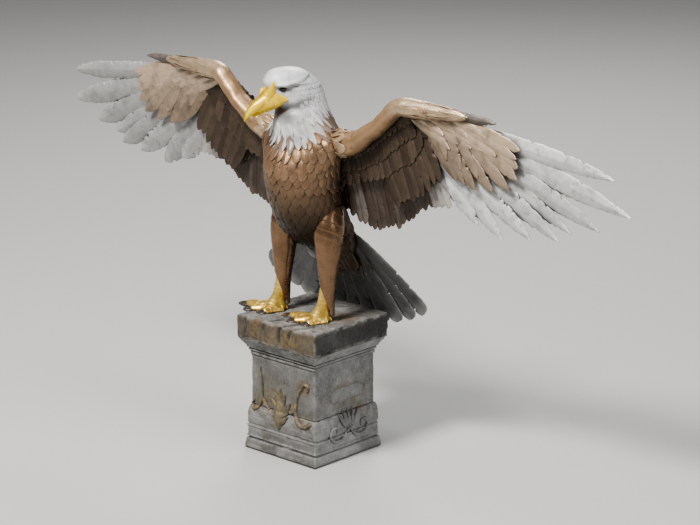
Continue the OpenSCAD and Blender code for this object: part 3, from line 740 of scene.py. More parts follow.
stone_block("shaft_block", STONE, "stone_shaft", [(SHAFT_W, SHAFT_Z), (SHAFT_W, SHAFT_TOP)], 17, 0.07, 0.45,
            (), STAINS)
stone_block("base_plinth", STONE, "stone_shaft", PLINTH, 23, 0.07, 0.5, (), STAINS)


def wall_at(z):
    """The pedestal's half-width below the cap, at heights z."""
    faces = [p for p in PLINTH if p[1] > 11] + [(SHAFT_W, SHAFT_TOP)]
    return np.interp(z, [p[1] for p in faces], [p[0] for p in faces])


def relief(shells, strokes, face, depth, cell=0.45, seed=1, veins=0.0):
    """A carved ornament of strokes, each a path of [across, height, half-width], raised on a wall."""
    strokes = [along(s, np.linspace(0, 1, 40)) for s in strokes]
    every = np.concatenate(strokes)
    reach = every[:, 2:3].max() + 1
    low, high = every[:, :2].min(0) - reach, every[:, :2].max(0) + reach
    nx, nz = (np.ceil((high - low) / cell)).astype(int) + 1
    x, z = np.meshgrid(np.linspace(low[0], high[0], nx), np.linspace(low[1], high[1], nz), indexing="ij")
    height = np.full(x.shape, -9.0)
    for stroke in strokes:
        d = np.hypot(x[..., None] - stroke[:, 0], z[..., None] - stroke[:, 1])
        best = np.argmin(d - stroke[:, 2], axis=-1)
        near = np.take_along_axis(d, best[..., None], -1)[..., 0]
        half = stroke[best, 2]
        dome = depth * np.sqrt(np.clip(half / reach, 0.12, 1)) * (1.15 - (near / half) ** 2 * 1.15)
        if veins:
            dome = dome - veins * bell(near, 0.35) * (half > 1.2)
        height = np.maximum(height, dome)
    spot = np.stack([x, z, 0 * x], -1)
    height = height + 0.22 * rough(spot, 2.2, seed) * (height > -1)
    ok = height > -0.45
    inside = ok[:-1, :-1] & ok[1:, :-1] & ok[:-1, 1:] & ok[1:, 1:]
    inside[0, :] = inside[-1, :] = inside[:, 0] = inside[:, -1] = False
    for _ in range(3):
        diagonal = (inside[:-1, :-1] & inside[1:, 1:] & ~inside[1:, :-1] & ~inside[:-1, 1:])
        other = (~inside[:-1, :-1] & ~inside[1:, 1:] & inside[1:, :-1] & inside[:-1, 1:])
        for i, j in np.argwhere(diagonal | other):
            inside[i:i + 2, j:j + 2] = True
    out = wall_at(z) + np.maximum(height, -0.6)
    back = wall_at(z) - 1.0
    turn = {"front": lambda a, o: (a, -o), "left": lambda a, o: (o, a), "right": lambda a, o: (-o, a)}[face]
    grids = [np.stack([*turn(x, o), z], -1).reshape(-1, 3) for o in (out, back)]
    index = np.arange(nx * nz).reshape(nx, nz)
    cells = np.argwhere(inside)
    i, j = cells[:, 0], cells[:, 1]
    tops = np.stack([index[i, j], index[i + 1, j], index[i + 1, j + 1], index[i, j + 1]], -1)
    total = nx * nz
    rims = []
    corner_pairs = {(0, -1): ((0, 0), (1, 0)), (1, 0): ((1, 0), (1, 1)),
                    (0, 1): ((1, 1), (0, 1)), (-1, 0): ((0, 1), (0, 0))}
    for (di, dj), (p, q) in corner_pairs.items():
        open_side = ~inside[i + di, j + dj]
        a = index[i[open_side] + p[0], j[open_side] + p[1]]
        b = index[i[open_side] + q[0], j[open_side] + q[1]]
        rims.append(np.stack([b, a, a + total, b + total], -1))
    quads = np.concatenate([tops, tops[:, ::-1] + total] + rims)
    used, quads = np.unique(quads, return_inverse=True)
    quads = quads.reshape(-1, 4)
    points = np.concatenate(grids)[used]
    tall = np.concatenate([height.reshape(-1), height.reshape(-1)])[used]
    # Low ground round the carving is darkened by dirt and painted shade; raised tops are rubbed bright with a
    # painted highlight.
    tags = np.stack([smooth((0.35 - tall) / 0.6) * 0.8, smooth((tall - depth * 0.5) / depth), 0 * tall], -1)
    shells.add(points, quads, np.zeros((0, 3), int), tags)


def leaf_stroke(low, high, half):
    low, high = np.array(low, float), np.array(high, float)
    return [[*mix(low, high, s), max(half * sin(pi * s ** 0.8), 0.3)] for s in np.linspace(0, 1, 9)]


# The reliefs' leaves, each as its two ends and half width, and their scrolls, each as strokes of
# [x, z, half width]. Right and left are the bird's own.
PALMETTE = [([-2, 21], [-2.4, 54], 5.4), ([-1, 30], [-12.5, 45], 3), ([-1, 30], [8.5, 44], 3),
            ([-2, 25], [-10, 34], 2.3), ([-2, 25], [7, 33], 2.3), ([-2, 34], [-7.6, 51], 2.2),
            ([-2, 34], [3.4, 50], 2.2)]
RIGHT_SCROLL = [[[-22.6, 65, 0.8], [-21.4, 55, 1.5], [-20.8, 46, 1.7], [-23, 37, 2], [-28, 32.6, 1.9],
                 [-31, 35.6, 1.2], [-29, 38.4, 0.9]],
                [[-21, 44, 1], [-17.6, 38, 1.3], [-13.6, 35, 1]]]
LEFT_SCROLL = [[[25.4, 56.4, 1], [26.4, 60, 1.4], [22.4, 61.4, 1.6], [17.4, 55, 1.6], [14, 46, 1.7],
                [13.4, 37.6, 2], [18, 30.8, 2.2], [25, 29.8, 1.9], [30, 32.6, 1.2]],
               [[13.6, 40, 1], [9.4, 36.6, 1.2], [7, 37.6, 0.8]]]
SIDE_SCROLL = [(1, 22, 0.9), (7, 16, 1.4), (15, 15, 1.5), (20, 20, 1.4), (18, 25.4, 1.2), (13, 25, 1),
               (13, 21.6, 0.8)]

ornament = Shells(31)
relief(ornament, [leaf_stroke(*leaf) for leaf in PALMETTE], "front", 2.3, seed=31, veins=0.7)
ornament.make("palmette_gilding", GILT, "worn_gilt", "front_palmette")
ornament = Shells(32)
relief(ornament, RIGHT_SCROLL, "front", 1.9, seed=32)
relief(ornament, LEFT_SCROLL, "front", 1.9, seed=33)
ornament.make("scroll_gilding", GILT, "worn_gilt", "front_scrolls")
for hand in ("left", "right"):
    ornament = Shells(41)
    relief(ornament, [[[-11, 49.5, 5.2], [3, 49.2, 5.6], [15, 49.5, 5.2]]], hand, 0.9, seed=42)
    leaves = [leaf_stroke([2 + 1.6 * i, 23], [2 + 5.6 * i, 38 - abs(i)], 1.9) for i in range(-2, 3)]
    scrolls = [[[2 + turn * x, z, half] for x, z, half in SIDE_SCROLL] for turn in (-1, 1)]
    relief(ornament, leaves + scrolls, hand, 1.7, seed=43, veins=0.5)
    ornament.make(hand + "_side_carving", STONE, "stone_shaft", hand + "_side_relief")

# ---------------------------------------------------------------- body and head

# The body and the head, as rows of [height, middle y, half width, half depth].
FIGURE = np.array([
    [46, 9, 6, 5], [52, 7, 14, 12], [60, 3, 20, 18], [72, -3, 24, 23],
    [87, -6, 26.5, 26], [102, -8, 28, 28], [116, -8.5, 29, 28], [128, -8, 28, 26],
    [136, -8, 25, 23.6], [141, -8.2, 22.2, 21.4], [148, -9.4, 20.8, 20.8], [154, -10.6, 19.4, 20.4],
    [160, -11.4, 17.6, 19.6], [166, -12.6, 16, 19.2], [172, -15.6, 15.2, 20], [178, -18.8, 14.6, 20],
    [183.2, -20.6, 12.2, 16.2], [186.6, -21.8, 8.2, 11.4], [188.2, -21.6, 3, 4.6],
])


def t_of(z):
    return np.interp(z, FIGURE[:, 0], np.linspace(0, 1, len(FIGURE)))


def slope_share(z):
    return smooth(np.where(z < JOINT_Z, (z - JOINT_Z + 28) / 28, 1 - (z - JOINT_Z) / 22))


def head_turn(points, full=False):
    """Turns points about the neck: by all of the head's turn, or by a share that grows up the neck."""
    share = 1.0 if full else np.clip((points[..., 2] - JOINT_Z) / 22, 0, 1)
    a = -radians(HEAD_TURN) * share
    x, y = points[..., 0], points[..., 1] - NECK_Y
    x, y = x * np.cos(a) - y * np.sin(a), x * np.sin(a) + y * np.cos(a)
    return np.stack([x, y + NECK_Y, points[..., 2]], -1)


EYE = np.array([12.3, -29.2, 174.8])
BROW = [[9.6, -33, 177.9], [11, -31.5, 177.6], [12.8, -28.5, 177.5], [13.8, -25.5, 177.8],
        [14.6, -21.5, 178.5], [14.9, -17, 179.2], [14.6, -12, 179.4]]
JAW = [[0, -31.6, 159.4], [6, -30, 159.6], [10, -27.9, 160],
       [15.4, -21.6, 161], [17.3, -15.9, 162], [16.8, -8.5, 164.5]]
TEMPLE = [[14.5, -23.8, 178], [14.6, -18.3, 179], [13.2, -12.3, 180], [10, -8, 181.6], [6.1, -4.9, 182.5]]


def beside(p, path):
    """The distance of points p from a path, and the share of the way along it of the nearest place."""
    q = p.copy()
    q[..., 0] = np.abs(q[..., 0])
    d = np.linalg.norm(q[..., None, :] - along(path, np.linspace(0, 1, 24)), axis=-1)
    return d.min(-1), np.argmin(d, -1) / 23


def lump(p, centre, size):
    """A soft lump of height 1 at centre, on both sides of the head."""
    q = p.copy()
    q[..., 0] = np.abs(q[..., 0])
    return np.exp(-np.sum(((q - np.array(centre)) / np.array(size, float)) ** 2, -1))


def nape_rise(a):
    """How far up the neck the brown feathers climb, in mm, at angles a: nothing in front, most behind."""
    away = np.abs(np.mod(np.asarray(a) + pi / 2 + pi, 2 * pi) - pi)
    return np.interp(away, np.radians([50, 82, 133, 180]), [0, 14, 21, 23])


def nape_brown(z, a):
    """The share of brown paint at heights z and angles a of the neck."""
    return smooth((JOINT_Z - 9 + nape_rise(a) - z) / 5 + 0.5)


def face_push(p):
    """How far the face stands out from, or sinks under, its smooth form at points p."""
    d, where = beside(p, BROW)
    brow = 2.4 * bell(d, 1.9) * (1 - 0.7 * where ** 2) * smooth(where / 0.12)
    stripe = -1.0 * lump(p, (14.8, -19.5, 176.6), (4, 6.5, 1.3))
    socket = -2.3 * lump(p, EYE, (4, 5.0, 1.9))
    d, where = beside(p, JAW)
    jaw = -3.6 * bell(d, 3.0) * (1 - 0.6 * where)
    throat = -1.6 * lump(p, (0, -31, 156.5), (14, 9, 6.0))
    cheek = 0.9 * lump(p, (13.4, -20, 166.5), (6, 8, 4.2))
    lores = 0.8 * lump(p, (9.4, -33, 171), (4, 3.4, 3.6))
    nape = 0.8 * bell(p[..., 1] - 6, 8) * bell(p[..., 2] - 172, 10)
    shoulder = 10.0 * lump(p, (25, -10, 136), (10, 12, 13))
    d, where = beside(p, TEMPLE)
    temple = -0.7 * bell(d, 1.3)
    return brow + stripe + socket + jaw + throat + cheek + lores + nape + shoulder + temple


def face_shade(t, a):
    """Tags of the head's skin: deeper in the eye's stripe, under the jaw and on the throat."""
    r = along(FIGURE, t)
    p = np.stack([r[..., 2] * np.cos(a), r[..., 1] + r[..., 3] * np.sin(a), r[..., 0]], -1)
    d, where = beside(p, JAW)
    dark = np.maximum(1.0 * bell(d, 3.6) * (1 - 0.4 * where), 1.0 * lump(p, (0, -31, 157.5), (18, 14, 5)))
    d, where = beside(p, TEMPLE)
    dark = np.maximum(dark, 0.6 * bell(d, 1.2))
    dark = np.maximum(dark, 1.0 * lump(p, EYE, (4.6, 7.0, 1.7)))
    dark = np.maximum(dark, 0.75 * lump(p, (14.8, -20, 176.6), (4, 7.0, 1.1)))
    neck = smooth((p[..., 2] - 150) / 10) * smooth((168 - p[..., 2]) / 8) * (np.sin(a) > -0.3)
    dark = np.maximum(dark, 0.35 * neck)
    return 0 * t, 0.38 * (1 - dark), nape_brown(p[..., 2], a)


def figure(t, a, extra=0.0):
    r = along(FIGURE, t)
    y = r[..., 1] + r[..., 3] * np.sin(a)
    z = r[..., 0] + JOINT_SLOPE * (y - NECK_Y) * slope_share(r[..., 0])
    p = np.stack([r[..., 2] * np.cos(a), y, z], -1)
    half_x, half_y = np.maximum(r[..., 2], 1), np.maximum(r[..., 3], 1)
    out = unit(np.stack([np.cos(a) / half_x, np.sin(a) / half_y, 0 * half_x], -1))
    p = p + out * (face_push(p) + extra)[..., None]
    return on_perch(head_turn(p))


JOINT = float(t_of(JOINT_Z))
AXIS = on_perch([0.0, NECK_Y, 110.0])

SCALE = dict(thick=0.45, tip_from=0.4, tip_power=0.58, camber=0.55, quill=0.04, nu=9, nv=14, root_share=0.65)

body = Shells(51)
loft(body, lambda t, a: figure(t, a, -0.35), 0.0, JOINT + 0.01, 90, 96, tag=(0, 0.3, 0.5))
plumage(body, figure, t_of(np.arange(52, 143, 7.2)), (13, 14), (9.4, 8.4), (1.0, 1.35), inside=AXIS,
        vary=0.14, **SCALE)
plumage(body, figure, t_of(np.array([143.0, 147.5])), 13, 8, 1.2, inside=AXIS, vary=0.14,
        keep=lambda p, a: np.cos(a) ** 2 > 0.4, **SCALE)
body.make("torso_feathers", BRONZE, "body_bronze", "torso")


def behind_face(p, a):
    return not (np.sin(a) < -0.05 and p[2] - PERCH > 158)


head = Shells(52)
loft(head, figure, JOINT - 0.01, 1.0, 190, 220, face_shade)
plumage(head, figure, t_of(np.arange(163, 179, 3.0)), (9, 6), (4.2, 3.4), (0.3, 0.22), inside=AXIS,
        keep=behind_face, thick=0.3, tip_from=0.35, tip_power=0.8, camber=0.15, quill=0.05, nu=7, nv=12,
        root_share=0.95, tone=0.0)


def hackle_shift(a):
    """Hackle rows start further up the neck behind, where they are also brown."""
    return nape_rise(a) / 6 / (len(FIGURE) - 1) * 0.35


def beside_face(p, a):
    return p[2] - PERCH < 157 or np.sin(a) > -0.3


# Rows of the hackle from the top: height, feather length and width, lift, and share of width at the root.
HACKLES = [(162, 13, 5, 0.4, 0.4), (158, 14, 5.4, 0.6, 0.5), (154.5, 16, 6.2, 0.7, 0.0),
           (150, 17, 7, 1.0, 0.5), (146.5, 15, 7.6, 1.1, 0.5)]
for z, length, wide, lift, start in HACKLES:
    plumage(head, figure, [t_of(z)], length, wide, lift, inside=AXIS, vary=0.26, shift=hackle_shift,
            keep=beside_face, tone=lambda q, a: float(nape_brown(q[2] - PERCH + 4, a)),
            thick=0.6, tip_from=0.3, tip_power=0.9, camber=1.1, quill=0.1, nu=11, nv=24, root_share=start)
head.make("head_feathers", WHITE, "white_paint", "head")

# ---------------------------------------------------------------- beak and eyes


def head_on(points):
    return on_perch(head_turn(np.asarray(points, float), full=True))


UPPER_BEAK = [[0, -31, 170, 8.4, 5.0], [0, -36, 167.6, 7.4, 4.9], [0, -41.2, 163.9, 5.8, 4.5],
              [0, -46.8, 160.2, 4.2, 3.8], [0, -51, 156.2, 2.5, 2.6], [0, -54.2, 150.8, 0.4, 0.5]]
LOWER_BEAK = [[0, -25, 164, 7.4, 2.8], [0, -31, 161.6, 6.6, 2.8], [0, -37.4, 159, 4.8, 2.4],
              [0, -43.2, 156.8, 3.2, 1.9], [0, -48, 154.2, 1.1, 0.8]]
CERE_END = 0.26
NOSTRIL = 0.15, 0.52


def beak_surface(rows, keel, cere):
    """A beak round its rows: narrower along its keel side, with a raised cere and nostrils."""
    def at(t, a):
        p = along(rows, t)
        d = heading(rows, t)
        b = np.array([1.0, 0, 0])
        n = np.cross(d, b)
        s, c = np.sin(a), np.cos(a)
        wide = np.sign(c) * np.abs(c) ** 0.72 * p[..., 3] * (1 - 0.3 * np.clip(keel * s, 0, 1) ** 1.6)
        tall = np.sign(s) * np.abs(s) ** 0.9 * p[..., 4]
        swell = 0.4 * smooth((CERE_END - t) / 0.03) - 0.3 * bell(t - CERE_END, 0.012)
        hole = -1.5 * bell(t - NOSTRIL[0], 0.022) * bell(s - NOSTRIL[1], 0.13)
        ridge = 0.18 * bell(t - NOSTRIL[0], 0.05) * bell(s - NOSTRIL[1], 0.3)
        out = unit(b * c[..., None] + n * s[..., None])
        return head_on(p[..., :3] + b * wide[..., None] + n * tall[..., None]
                       + out * (cere * (swell + hole + ridge))[..., None])
    return at


def beak_tags(t, a):
    """Dark in the nostrils, along the culmen and at the hook; a painted highlight runs in a band along the
    sides.
    """
    s = np.sin(a)
    hole = bell(t - NOSTRIL[0], 0.026) * bell(s - NOSTRIL[1], 0.15)
    culmen = 0.55 * smooth((s - 0.72) / 0.25) * smooth((t - 0.05) / 0.2)
    hook = 0.55 * smooth((t - 0.86) / 0.14)
    return np.maximum(np.maximum(hole, culmen), hook), 0.8 * smooth(1 - np.abs(s - 0.2) / 0.8), 0 * t


GAPE = [[2.8, -45.5, 158.6, 1.6, 0.4], [4.1, -41.5, 161.8, 3.1, 1.2], [5.6, -37.5, 164.6, 4.5, 1.9],
        [7.2, -33.8, 166.6, 5.6, 2.2], [9.0, -30.6, 167.0, 4.7, 2.1], [11.1, -27.6, 167.2, 2.9, 1.5],
        [12.3, -26.0, 167.0, 1.3, 0.9], [12.9, -25.1, 166.9, 0.4, 0.3]]
HORN = [[6.6, -34.8, 166.5, 4.4, 1.6], [7.4, -35.2, 171.0, 4.0, 1.7], [7.9, -35.0, 175.0, 3.0, 1.5],
        [8.3, -34.5, 178.2, 1.8, 1.2], [8.5, -34.1, 180.8, 0.5, 0.5]]
FAR_HORN = [*HORN[:2], [7.6, -34.9, 173.4, 0.5, 0.5]]
beak = Shells(61)
loft(beak, beak_surface(UPPER_BEAK, 1, 1), 0, 1, 90, 64, beak_tags)
for side, horn in ((1, HORN), (-1, FAR_HORN)):
    for rows, wide in ((GAPE, [0, 0, 1]), (horn, [0, 1, 0])):
        limb = limb_surface([[side * r[0], *r[1:]] for r in rows], wide)
        loft(beak, lambda t, a: head_on(limb(t, a)), 0, 1, 30, 24, (0.0, 0.5, 0.5))
beak.make("beak_upper", BEAK, "beak_gold", "upper_beak")
beak = Shells(62)
loft(beak, beak_surface(LOWER_BEAK, -1, 0), 0, 1, 50, 40, lambda t, a: (0.25 + 0 * t, 0.2 + 0 * t, 0 * t))
beak.make("beak_lower", BEAK, "beak_gold", "lower_beak")

eyes = Shells(63)
for side in (1, -1):
    look = unit(np.array([side * 0.86, -0.5, 0.02]))
    across = unit(np.cross(look, [0, 0, 1]))
    rise = np.cross(across, look)
    middle = np.array([side * 10.9, -28.6, 174.3])

    def ball(t, a):
        polar = pi * t
        ring = across * np.cos(a)[..., None] + rise * np.sin(a)[..., None]
        spot = look * np.cos(polar)[..., None] + ring * np.sin(polar)[..., None]
        cornea = 1 + 0.06 * bell(t, 0.2)
        return head_on(middle + 2.1 * cornea[..., None] * spot * [1, 1, 0.6])
    loft(eyes, ball, 0.01, 0.99, 40, 36,
         lambda t, a: (smooth((0.2 - t) / 0.03), 0.4 * smooth((0.33 - t) / 0.03), 0 * t))
eyes.make("eyeballs", EYE_PAINT, "eye_paint", "eyes")

# ---------------------------------------------------------------- legs

LEG = [[18.6, -1, 84, 10, 10], [21.2, -4.8, 72, 10.6, 12.2], [22.4, -6, 60, 9.8, 11.4],
       [22.9, -6.6, 46, 8.4, 9.4], [22.8, -7.2, 33, 6.6, 7.4], [22.7, -7.8, 21, 5.3, 6.2],
       [22.7, -7.8, 9, 4.9, 5.5], [22.6, -7.6, 4.5, 4.9, 5.2]]
ANKLE = (22.5, -9.0)
SHANK = [[0, 0.2, 33, 3.0, 3.6], [0, -0.8, 20, 3.6, 4.6], [0, -2.4, 11, 4.0, 5.2], [0, -4.6, 3.4, 6.0, 7.8]]
FORWARD = 2.4
TOES = [(-31, 1.12), (-3, 0.86), (33, 0.6), (-98, 0.5)]
TOE = [[0, 6.8, 6.2], [6, 6.0, 5.3], [12, 5.3, 4.8], [18, 4.9, 4.3], [24.5, 3.9, 3.4]]
TALON_ROWS = [[22, 4.2, 2.6], [25, 4.8, 2.2], [28, 4.6, 1.7], [30.4, 3.3, 1.1], [31.6, 1.4, 0.3]]
FOOT_TURN = -47.0
SHANK_PLATES, TOE_PLATES = 9, 11


def trouser_end(limb, side, turn):
    """The share of the leg, for each angle, at which the feathered part ends above the bare shank."""
    t = np.linspace(0, 1, 400)
    angles = np.linspace(0, 2 * pi, 73)
    grid, _ = np.meshgrid(t, angles, indexing="ij")
    p = limb(grid, np.broadcast_to(angles, grid.shape))
    ahead = (p[..., 0] - ANKLE[0]) * side * sin(turn) - (p[..., 1] - ANKLE[1]) * cos(turn)
    past = p[..., 2] < 16 + 2.5 * ahead
    ends = t[np.where(past.any(0), past.argmax(0), len(t) - 1)]
    return lambda a: np.interp(np.mod(a, 2 * pi), angles, ends)


for hand, side in (("left", 1), ("right", -1)):
    limb = limb_surface(LEG, [1, 0, 0])
    turn = radians(FOOT_TURN)
    end = trouser_end(limb, side, turn)
    leg = lambda t, a: on_perch(limb(t * end(a), a), side)
    middle = on_perch([22.0, -7.5, 50.0], side)
    thigh = Shells(71)

    def cast(t, a):
        """The leg's skin: soft, worn-down feather shapes in staggered rows, as they come out of a mould."""
        p = leg(t, a)
        row = t * 13
        stagger = 0.5 * (np.floor(row) % 2)
        fall = np.mod(row, 1)
        shaft = np.abs(np.mod(a * 4.5 / pi + stagger, 1) - 0.5) * 2
        marks = 0.3 * smooth(fall) * (1 - shaft ** 2 * 0.6) * smooth((0.5 - t) / 0.3)
        scale = marks + 0.25 * noise(p, 7.0, 7)
        return p + unit((p - middle) * [1, 1, 0.1]) * scale[..., None]
    loft(thigh, cast, 0, 1, 220, 120, (0, 0.6, 0.5))
    thigh.make(hand + "_thigh_feathers", THIGH, "body_bronze", hand + "_thigh")

    ankle = on_perch(np.array([ANKLE[0], ANKLE[1], 0.0]), side)

    def from_foot(p):
        """Points beside the ankle, turned with the foot."""
        x, y = p[..., 0], p[..., 1]
        return ankle + np.stack([x * cos(turn) - y * sin(turn), x * sin(turn) + y * cos(turn), p[..., 2]], -1)

    foot, claws = Shells(72), Shells(73)
    shank = limb_surface(SHANK, [1, 0, 0])

    def scuted(t, a):
        front = np.clip(np.sin(a), 0, 1)
        plates = np.abs(np.sin(t * pi * SHANK_PLATES)) ** 0.5
        p = shank(t, a)
        centre = along(SHANK, t)[..., :3]
        return from_foot(p + unit(p - centre) * (0.16 * front * plates)[..., None])
    # Dark lines between the scutes on the front; the whole front takes a painted highlight.
    loft(foot, scuted, 0, 1, 110, 40, lambda t, a: (
        0.3 * np.clip(np.sin(a), 0, 1) * bell(np.sin(t * pi * SHANK_PLATES), 0.2),
        0.9 * np.clip(np.sin(a), 0, 1), 0))

    for degrees, share in TOES:
        h = radians(degrees)
        away = np.array([sin(h), -cos(h), 0])
        beside = np.array([cos(h), sin(h), 0])

        def path(rows, flat=1.0):
            return [[*(away * r[0] * share - [0, FORWARD, 0]), r[1], r[2], r[2] * flat] for r in rows]
        toe_rows, claw_rows = path(TOE), path(TALON_ROWS, 1.12)
        toe_limb, claw_limb = limb_surface(toe_rows, beside), limb_surface(claw_rows, beside)

        def toe(t, a):
            p = toe_limb(t, a)
            centre = along(toe_rows, t)[..., :3]
            out = unit(p - centre)
            joints = bell(np.mod(t * 3.2 + 0.4, 1) - 0.5, 0.2)
            plates = np.abs(np.sin(t * pi * TOE_PLATES)) ** 0.5
            up = np.clip(out[..., 2], 0, 1)
            pad = np.clip(-out[..., 2], 0, 1)
            swell = 0.5 * joints * (0.5 + 0.5 * pad) + 0.08 * plates * up - 0.1
            p = p + out * (swell - 0.4 * smooth((t - 0.9) / 0.1))[..., None]
            p[..., 2] = np.maximum(p[..., 2], 0.25)
            return from_foot(p)
        # Dark lines between the toes' scales; the knuckles rubbed bright, partly as a painted highlight.
        loft(foot, toe, 0, 1, 90, 32, lambda t, a: (
            0.3 * bell(np.sin(t * pi * TOE_PLATES), 0.28),
            0.7 * bell(np.mod(t * 3.2 + 0.4, 1) - 0.5, 0.22), 0))
        loft(claws, lambda t, a: from_foot(claw_limb(t, a)), 0, 1, 40, 24,
             lambda t, a: (0.3 * (1 - t), 0.6 * t, 0))
    foot.make(hand + "_foot_toes", FOOT, "foot_gold", hand + "_foot")
    claws.make(hand + "_claws", TALON, "talon_grey", hand + "_talons")

# ---------------------------------------------------------------- tail

TAIL_ROOT = np.array([0.0, 15.0, 72.0])
TAIL_LEAN = radians(22)
TAIL_LONG = 104.0
TAIL_TURN = 3.4
RUMP = [[0, 4, 92, 14, 12], [0, 11, 80, 19, 10], [0, 17.6, 66, 22, 7],
        [0, 22.6, 52, 21, 5], [0, 27, 40, 14, 3]]


def tail_on(p):
    p = np.asarray(p, float)
    c, s = cos(TAIL_LEAN), sin(TAIL_LEAN)
    y, z = p[..., 1] * c - p[..., 2] * s, p[..., 1] * s + p[..., 2] * c
    return on_perch(TAIL_ROOT + np.stack([p[..., 0], y, z], -1))


def fan_out(degrees):
    """The direction of a tail feather at that angle from the middle of the fan."""
    a = radians(degrees - TAIL_TURN)
    return np.array([sin(a), 0, -cos(a)])


tail_face = (0, -cos(TAIL_LEAN), -sin(TAIL_LEAN))
tail = Shells(81)
for i in range(11):
    spread = mix(-48, 48, i / 10)
    out = fan_out(spread)
    lift = np.array([0, 0.3 * (i % 2) + abs(spread) / 40, 0])
    reach = TAIL_LONG * (1 - 0.1 * cos(radians(1.8 * spread)))
    blade(tail, tail_on(out * 14 + lift), tail_on(out * reach + lift), 19.5, 1.6, tail_face, -2, 0, 6, 15, 90,
          tip_from=0.93, tip_power=0.36, camber=0.8, quill=0.5, slits=5, slit_wide=0.45, ragged=0.05,
          ripple=0.1)
for i in range(10):
    out = fan_out(mix(-33, 33, i / 9))
    for lift, reach, wide in ((1.9, 56, 15), (3.3, 42, 12)):
        blade(tail, tail_on(out * 12 + [0, lift, 0]),
              tail_on(out * tail.rng.uniform(0.94, 1.05) * reach + [0, lift, 0]),
              wide, 1.2, tuple(-k for k in tail_face), 1, 0, 4, 9, 24, tip_from=0.7, camber=0.7, quill=0.3,
              slits=2, ragged=0.06)
tail.make("tail_fan", TAIL, "tail_grey", "tail_feathers")

rump_limb = limb_surface(RUMP, [1, 0, 0])
rump = Shells(82)
rump_skin = lambda t, a: on_perch(rump_limb(t, a))
loft(rump, rump_skin, 0, 1, 50, 56, (0, 0.15, 0.5))
plumage(rump, rump_skin, np.linspace(0.13, 0.93, 12), (11, 9), (8, 6.5), (0.9, 0.7), hang=-1,
        inside=on_perch([0, 16.0, 66]), thick=0.4, tip_from=0.4, tip_power=0.7, camber=0.35, quill=0.06,
        nu=7, nv=10, root_share=0.7)
for i in range(9):
    out = fan_out(mix(-26, 26, i / 8))
    for fall, reach, wide in ((-1.6, 50, 10), (-3.0, 36, 8)):
        blade(rump, tail_on(out * 8 + [0, fall, 0]),
              tail_on(out * rump.rng.uniform(0.92, 1.05) * reach + [0, fall, 0]),
              wide, 1.2, tail_face, 1.2, 0, -4, 9, 22, tip_from=0.62, camber=0.8, quill=0.3, slits=2,
              ragged=0.1)
rump.make("rump_feathers", RUMP_BROWN, "body_bronze", "tail_rump")

# ---------------------------------------------------------------- wings

ARM_ROWS = [[10, -4, 135, 4, 4], [20, -5, 136, 5.5, 4.5], [28, -5.8, 136.2, 7.8, 6.2],
            [36, -6.4, 136, 9.6, 7.2], [44, -6.4, 137.6, 8.9, 7.8], [52, -5.9, 140.8, 7.4, 8.2],
            [60, -5.5, 146.6, 6.4, 8.2], [69, -5.5, 152.6, 6, 7.6], [78.5, -5.5, 161.6, 6, 7.3],
            [85, -5.4, 167.8, 6.2, 7.2], [91, -5, 170.8, 6.5, 7], [98, -4.6, 171.5, 6.7, 6.6],
            [107, -4.2, 171.2, 6.6, 6], [117, -3.6, 171.3, 5.9, 5], [128, -3, 171.6, 4.1, 3.8],
            [140, -2.4, 171.8, 2.3, 2.4], [150, -2, 171.8, 1, 1]]
PRIMARY_TIPS = [[268, 10, 145], [277, 17, 119.5], [251, 17, 105.5], [228, 16, 100],
                [219, 14, 93], [196, 12, 90.5], [170, 13, 85.5], [149, 12, 92]]
PRIMARY_WIDE = [0.82, 1, 1, 0.94, 1, 1, 1, 0.94]
SECONDARY_ROOTS = [[106, 4, 140], [96, 4, 138], [84, 4, 134.5], [70, 4, 130],
                   [52, 4, 124], [36, 5, 120], [18, 6, 114]]
SECONDARY_TIPS = [[124, 10, 100], [113, 10, 98], [101, 11, 95], [87, 12, 85],
                  [71, 12, 74.5], [56, 11, 72.5], [42, 9, 75], [20, 10, 84]]
# Rows of coverts over one face of a wing: the paths [x, z] of their roots and of their tips, their number,
# their widths at either end, how far they stand out, and their tones at either end.
COVERT_ROWS = [
    ([[66, 129], [78, 137], [90, 146], [102, 153]], [[84, 97], [94, 102], [107, 109], [122, 120]],
     10, (10, 12), 0.8, (0.0, 0.12)),
    ([[18, 122], [40, 128], [60, 137], [74, 145], [88, 152], [97, 160]],
     [[25, 100], [49, 107], [70, 114], [82, 122], [95, 129], [104, 140]], 19, (10, 10), 1.3, (0.0, 0.08)),
    ([[18, 128], [42, 134], [59, 145], [74, 156], [88, 166]],
     [[27, 111], [48, 117], [66, 126], [82, 137], [100, 149]], 18, (10, 9.5), 2.0, (0.0, 0.06)),
    ([[20, 134], [42, 139], [57, 149], [71, 160], [84, 168]],
     [[29, 120], [47, 126], [62, 136], [78, 148], [96, 158]], 16, (9, 9), 2.6, (0.0, 0.04)),
    ([[24, 138], [42, 143], [57, 151], [71, 161], [84, 168]],
     [[31, 128], [47, 134], [62, 144], [78, 156], [94, 164]], 16, (7.5, 7.5), 3.2, (0.0, 0.06)),
    ([[108, 159], [146, 162]],
     [[137, 124.5], [145, 122], [152.5, 121.5], [168, 122.5], [184, 125], [190, 132], [189, 142]],
     7, (10.5, 15), 2.0, (0.5, 0.85)),
    ([[116, 160], [134, 162]], [[129, 137], [141, 132], [156, 130]], 3, (9, 10), 2.8, (0.6, 0.75)),
    ([[96, 163], [104, 165], [122, 166], [132, 168]],
     [[131.5, 146], [141.5, 150.5], [150, 150], [161, 149], [171.5, 147.5], [187.5, 148], [190, 155]],
     7, (9, 12.5), 3.4, (0.85, 1.0)),
    ([[100, 167], [126, 170]], [[127, 155], [139, 158], [150, 157], [166, 158.5]],
     4, (8, 9.5), 4.2, (0.9, 1.0)),
]


